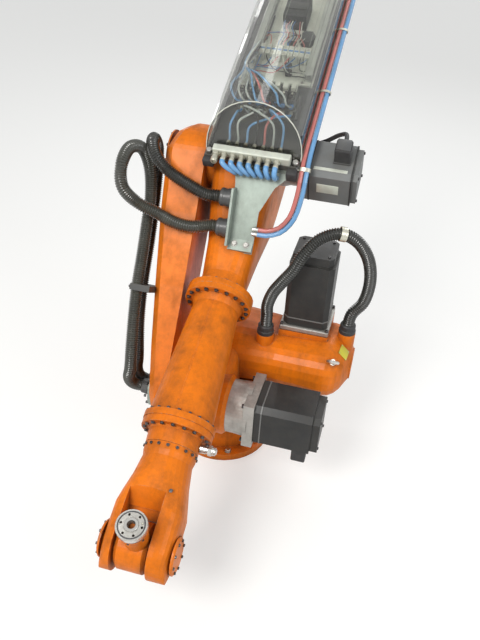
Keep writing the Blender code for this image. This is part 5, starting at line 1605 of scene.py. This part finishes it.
        self.add("bulkhead_fittings", join(bulkheads), "zinc_clamp")

    def _plate(self) -> None:
        """Slotted wire ducts, modules, terminals and screws on the white mounting plate."""
        top = self.plate_top
        ducts = []
        for x in (-0.052, 0.118):
            ducts.append(rounded_box((0.022, 0.370, 0.002), (x, 0.430, top + 0.0012), 0.0004))
            ducts.append(rounded_box((0.023, 0.370, 0.0018), (x, 0.430, top + 0.0245), 0.0004))
            for side in SIDES:
                for k in range(37):
                    middle = (x + side * 0.0100, 0.2500 + 0.0100 * k, top + 0.0130)
                    ducts.append(rounded_box((0.0014, 0.0060, 0.0225), middle, 0.0002, 1))
        self.add("wire_ducts", join(ducts), "conduit_duct")
        modules = [placed(turned(self.HEX_MODULE, 6), Matrix.Translation((0.082, 0.408, top + 0.0004)))]
        modules += boxes((
            ((0.026, 0.022, 0.020), (0.044, 0.372, top + 0.0104), 0.002),
            ((0.022, 0.018, 0.018), (0.050, 0.285, top + 0.0094), 0.002),
            ((0.018, 0.016, 0.016), (0.058, 0.262, top + 0.0084), 0.002),
            ((0.062, 0.030, 0.004), (0.033, 0.500, top + 0.0504), 0.001),
        ))
        self.add("plate_modules", join(modules), "black_tray")
        terminals = self._across(9, self.terminal_pitch)
        heads = [
            placed(turned(self.TERMINAL_SCREW, 10), Matrix.Translation((x, y, top + 0.0284)))
            for x in terminals for y in (0.317, 0.343)
        ]
        self.add("terminal_screws", join(heads), "zinc_clamp", "bright_steel")
        bridges = boxes(((0.0120, 0.006, 0.0016), (x, 0.330, top + 0.0290), 0.0004) for x in terminals)
        self.add("terminal_bridges", join(bridges), "blue_plastic")
        corners = four_places((0.033, 0.430, top - 0.0004), (0.069, 0, 0), (0, 0.190, 0), UP)
        self.add_screws("plate_screws", corners, 0.0045, 0.0035, Head.PAN, "bright_steel")

    def _wires(self) -> None:
        """Thin wires from the terminals into the ducts and on to the module."""
        source = random.Random(7)
        top = self.plate_top
        sets: dict[str, list[Mesh]] = {"white_plastic": [], "blue_plastic": [], "black_rubber": [], "red_tube": []}
        kinds = list(sets)
        terminals = self._across(9, self.terminal_pitch)
        for i in range(18):
            x, side = terminals[i // 2], -0.041 if i % 2 else 0.107
            y, way = (0.300, -1) if i % 3 else (0.362, 1)
            run = y + way * 0.030 * (1 + source.random())
            route = [
                (x, 0.330 + way * 0.016, top + 0.020), (x, y, top + 0.024 + 0.004 * source.random()),
                (x * 0.7 + side * 0.3, run, top + 0.022), (side * 0.8 + x * 0.2, run + 0.004, top + 0.016),
                (side * 1.05 - x * 0.05, run + 0.006, top + 0.012),
            ]
            sets[kinds[i % 4]].append(cable(route, 0.006, self.wire_radius, 6))
        for i in range(8):
            x = 0.006 + 0.0075 * i
            route = [
                (x, 0.456, top + 0.030), (x, 0.446, top + 0.034), (x + source.uniform(-0.01, 0.01), 0.415, top + 0.040),
                (x + 0.010, 0.385, top + 0.036), (x, 0.362, top + 0.026), (x, 0.348, top + 0.020),
            ]
            sets[kinds[(i + 1) % 4]].append(cable(route, 0.006, self.wire_radius, 6))
        self._add_by_finish("plate_wires_", sets)


@dataclass
class Wrist(SubAssembly):
    """The wrist: screws and web of the fork, and the fine parts of the turret and the tool flange.

    Args:
        collar_radius: The radius of the fork's collar.
        cheek: The X of the cheeks' outer faces.
    """

    body: ClassVar[str] = "fork"

    collar_radius: float = 0.068
    cheek: float = 0.0943

    SLOT_WEB: ClassVar[Profile] = (
        (0.0618, 0.0), (0.0617, 0.0052), (0.0885, 0.0205), (0.0900, 0.0), (0.0885, -0.0205), (0.0617, -0.0052),
    )
    RIM: ClassVar[Profile] = ((0.1272, 0.0362), (0.1272, 0.0368), (0.1392, 0.0368), (0.1400, 0.0362))
    FACE_RING: ClassVar[Profile] = ((0.1396, 0.0290), (0.1401, 0.0292), (0.1401, 0.0326), (0.1396, 0.0328))
    SPIGOT: ClassVar[Profile] = (
        (0.1398, 0.0086), (0.1398, 0.0165), (0.1424, 0.0165), (0.1430, 0.0158), (0.1430, 0.0100), (0.1405, 0.0086),
    )
    PIN: ClassVar[Profile] = ((0.0, 0.0024), (0.0035, 0.0024), (0.0040, 0.0018))

    def dress(self) -> None:
        """Adds the pieces of the wrist."""
        places = spoke_places((0, 0.2355, 0), self.collar_radius - 0.0004, (0, 2), 18, 0.1)
        self.add_screws("fork_collar_screws", places, 0.0040, 0.0038)
        for side, word in zip(SIDES, ("left", "right")):
            places = ring_places((side * (self.cheek - 0.0002), 0, 0), (side, 0, 0), 0.0375, 8, 0.2)
            self.add_screws("cheek_cover_screws_" + word, places, 0.0036, 0.0036)
        self.add_screws("fork_plug", [((0.046, 0.130, 0.0672), UP)], 0.0046, 0.0016)
        web = loft([[Vector((x, y, z)) for y, z in self.SLOT_WEB] for x in (-0.0545, -0.020, 0.012, 0.0365)])
        self.add("fork_slot_web", web, "orange_paint")
        self.add("flange_rim", turned(self.RIM, 48, True), "bright_steel", body="flange")
        self.add("flange_face_ring", turned(self.FACE_RING, 48, True), "dark_screw", body="flange")
        self.add("flange_spigot", turned(self.SPIGOT, 40, True), "bright_steel", body="flange")
        pin = placed(turned(self.PIN, 12), Matrix.Translation((0.0235, 0.0085, 0.1398)))
        self.add("flange_pin", pin, "zinc_clamp", "bright_steel", body="flange")
        seal = band(0.1205, 0.1262, 0.0344, 0.0352, 48)
        self.add("turret_seal", seal, "black_rubber", "black_motor", body="tilt")
        places = spoke_places((0, 0, 0.1120), 0.0342, (0, 1), 6, math.tau / 12)
        self.add_screws("turret_screws", places, 0.0030, 0.0018, body="tilt")


# The finish of every solid that isn't painted orange.
NODE_FINISHES: dict[str, str] = {
    name: finish
    for finish, names in (
        ("black_motor", "junction_box shoulder_motor turning_motor bus_module"),
        ("black_motor", "wrist_motor_1 wrist_motor_2 wrist_motor_3"),
        ("black_rubber", "shoulder_motor_plug turning_motor_plug elbow_motor_plug"),
        ("dark_grey_motor", "elbow_motor"),
        ("cast_alloy", "shoulder_motor_flange turning_motor_flange elbow_motor_flange tool_flange"),
        ("bright_steel", "neck_fitting lifting_eye"),
        ("black_tray", "valve_tray riser_clamp"),
        ("clear_plastic", "valve_hood"),
        ("pale_bar", "hose_bar"),
        ("valve_grey", "valve_bank"),
        ("white_plastic", "terminal_plate"),
        ("grey_sheet", "tray_foot_front tray_foot_rear riser_gland_plate hose_bracket"),
        ("conduit_black", "cable_loom conduit_riser_b conduit_loop_b"),
        ("conduit_grey", "conduit_riser_a conduit_loop_a"),
        ("red_tube", "air_tube_red"),
        ("blue_tube", "air_tube_blue"),
    )
    for name in names.split()
}


def paint_nodes(nodes: dict[str, bpy.types.Object], palette: Palette) -> None:
    """Gives every CAD node its finish through its material slots.

    Args:
        nodes: The CAD nodes by name.
        palette: The finishes.
    """
    for name, obj in nodes.items():
        material = palette[NODE_FINISHES.get(name, "orange_paint")]
        if not obj.material_slots:
            obj.data.materials.append(material)
        for slot in obj.material_slots:
            slot.material = material


# The camera and the light


@dataclass
class Studio:
    """The camera at the photograph's angle, a pale floor and soft lights.

    Args:
        camera_place: Where the camera stands.
        right: The direction of its picture's right.
        back: The direction behind it.
        focal_px: Its focal length in the photograph's pixels.
        height_px: The photograph's height in pixels.
        sensor: The side of its sensor, in millimetres.
        target: The place that the soft lamps point at.
    """

    camera_place: Point = (0.426, -1.687, 1.690)
    right: Point = (0.958, 0.2575, 0.0502)
    back: Point = (0.195, -0.7943, 0.5817)
    focal_px: float = 695.0
    height_px: float = 640.0
    sensor: float = 36.0
    target: Point = (0.0, 0.0, 0.7)

    def build(self) -> None:
        """Makes the camera, the floor, the world and the lamps."""
        self._camera()
        self._floor()
        self._world()
        self._lamps()
        bpy.context.scene.view_settings.view_transform = "Standard"

    def _camera(self) -> None:
        """The camera, solved from the photograph."""
        data = bpy.data.cameras.new("camera")
        data.sensor_fit = "VERTICAL"
        data.sensor_height = data.sensor_width = self.sensor
        data.lens = self.focal_px / self.height_px * self.sensor
        camera = bpy.data.objects.new("camera", data)
        bpy.context.scene.collection.objects.link(camera)
        x, z = Vector(self.right).normalized(), Vector(self.back)
        z = (z - x * z.dot(x)).normalized()
        camera.matrix_world = Matrix.Translation(self.camera_place) @ axes(x, z.cross(x), z)
        bpy.context.scene.camera = camera

    def _floor(self) -> None:
        """A plain pale floor that shows white where no shadow falls."""
        mesh = bmesh.new()
        bmesh.ops.create_grid(mesh, x_segments=1, y_segments=1, size=14.0)
        material, graph, shader = new_material("pale_floor")
        shader.inputs["Base Color"].default_value = (0.56, 0.56, 0.55, 1.0)
        shader.inputs["Roughness"].default_value = 0.75
        shader.inputs["Emission Color"].default_value = (0.90, 0.90, 0.885, 1.0)
        graph.feed(shader, "Emission Strength", graph.times(graph.behind_object(), 0.52))
        floor = new_object("floor", mesh, material)
        floor.location.z = -0.0005

    def _world(self) -> None:
        """A plain pale world."""
        world = bpy.data.worlds.new("studio")
        world.use_nodes = True
        graph = Graph(world.node_tree)
        lit = world.node_tree.nodes["Background"]
        lit.inputs["Color"].default_value = (0.80, 0.82, 0.84, 1.0)
        lit.inputs["Strength"].default_value = 0.42
        seen = graph.add("Background", in_Color=(0.90, 0.905, 0.90, 1.0), in_Strength=1.0)
        mix = graph.add("MixShader")
        for index, value in enumerate((graph.behind_object(), lit.outputs[0], seen.outputs[0])):
            graph.feed(mix, index, value)
        graph.feed(world.node_tree.nodes["World Output"], "Surface", mix.outputs[0])
        bpy.context.scene.world = world

    def _lamps(self) -> None:
        """A soft key from the upper left, a fill, a rim light, and two strips that the hood reflects."""
        for name, place, width, height, watts, colour in (
            ("key", (-0.9, -2.9, 3.2), 1.3, 1.3, 112.0, (1.0, 0.98, 0.95)),
            ("fill", (2.6, -1.6, 2.2), 1.6, 1.6, 30.0, (0.96, 0.98, 1.0)),
            ("rim", (0.4, 2.8, 3.0), 2.0, 1.0, 40.0, (1.0, 1.0, 1.0)),
        ):
            lamp = self._lamp(name, width, height, watts)
            lamp.data.color = colour
            lamp.location = place
            lamp.rotation_euler = (Vector(self.target) - Vector(place)).to_track_quat("-Z", "Y").to_euler()
        for name, first, last, width, watts, target in (
            ("strip_left", (-1.10, 1.62, 1.85), (-0.77, 1.50, 0.55), 0.08, 0.7, (-0.07, 0.3, 1.15)),
            ("strip_top", (-0.10, 0.98, 2.74), (-0.11, 0.50, 2.62), 0.075, 0.30, (0.04, 0.2, 1.18)),
        ):
            run, middle = Vector(last) - Vector(first), (Vector(first) + Vector(last)) / 2
            along, face = run.normalized(), (middle - Vector(target)).normalized()
            face = (face - along * face.dot(along)).normalized()
            lamp = self._lamp(name, run.length, width, watts)
            lamp.matrix_world = Matrix.Translation(middle) @ axes(along, face.cross(along), face)

    @staticmethod
    def _lamp(name: str, width: float, height: float, watts: float) -> bpy.types.Object:
        """Makes one soft lamp.

        Args:
            name: The lamp's name.
            width: Its width.
            height: Its height.
            watts: Its power.

        Returns:
            The lamp, at the origin.
        """
        data = bpy.data.lights.new(name, "AREA")
        data.shape = "RECTANGLE"
        data.size, data.size_y = width, height
        data.energy = watts
        lamp = bpy.data.objects.new(name, data)
        bpy.context.scene.collection.objects.link(lamp)
        return lamp


def main() -> None:
    """Builds the robot's looks in order."""
    logging.basicConfig(level=logging.INFO, format="%(name)s: %(message)s")
    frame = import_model()
    Studio().build()
    palette = Palette()
    paint_nodes(frame["nodes"], palette)
    kit = Dresser(palette, Chain(frame["joints"]), frame["nodes"])
    for part in (Base, Column, Link, Arm, ValveBox, Wrist):
        part(kit).dress()


if __name__ == "__main__":
    main()
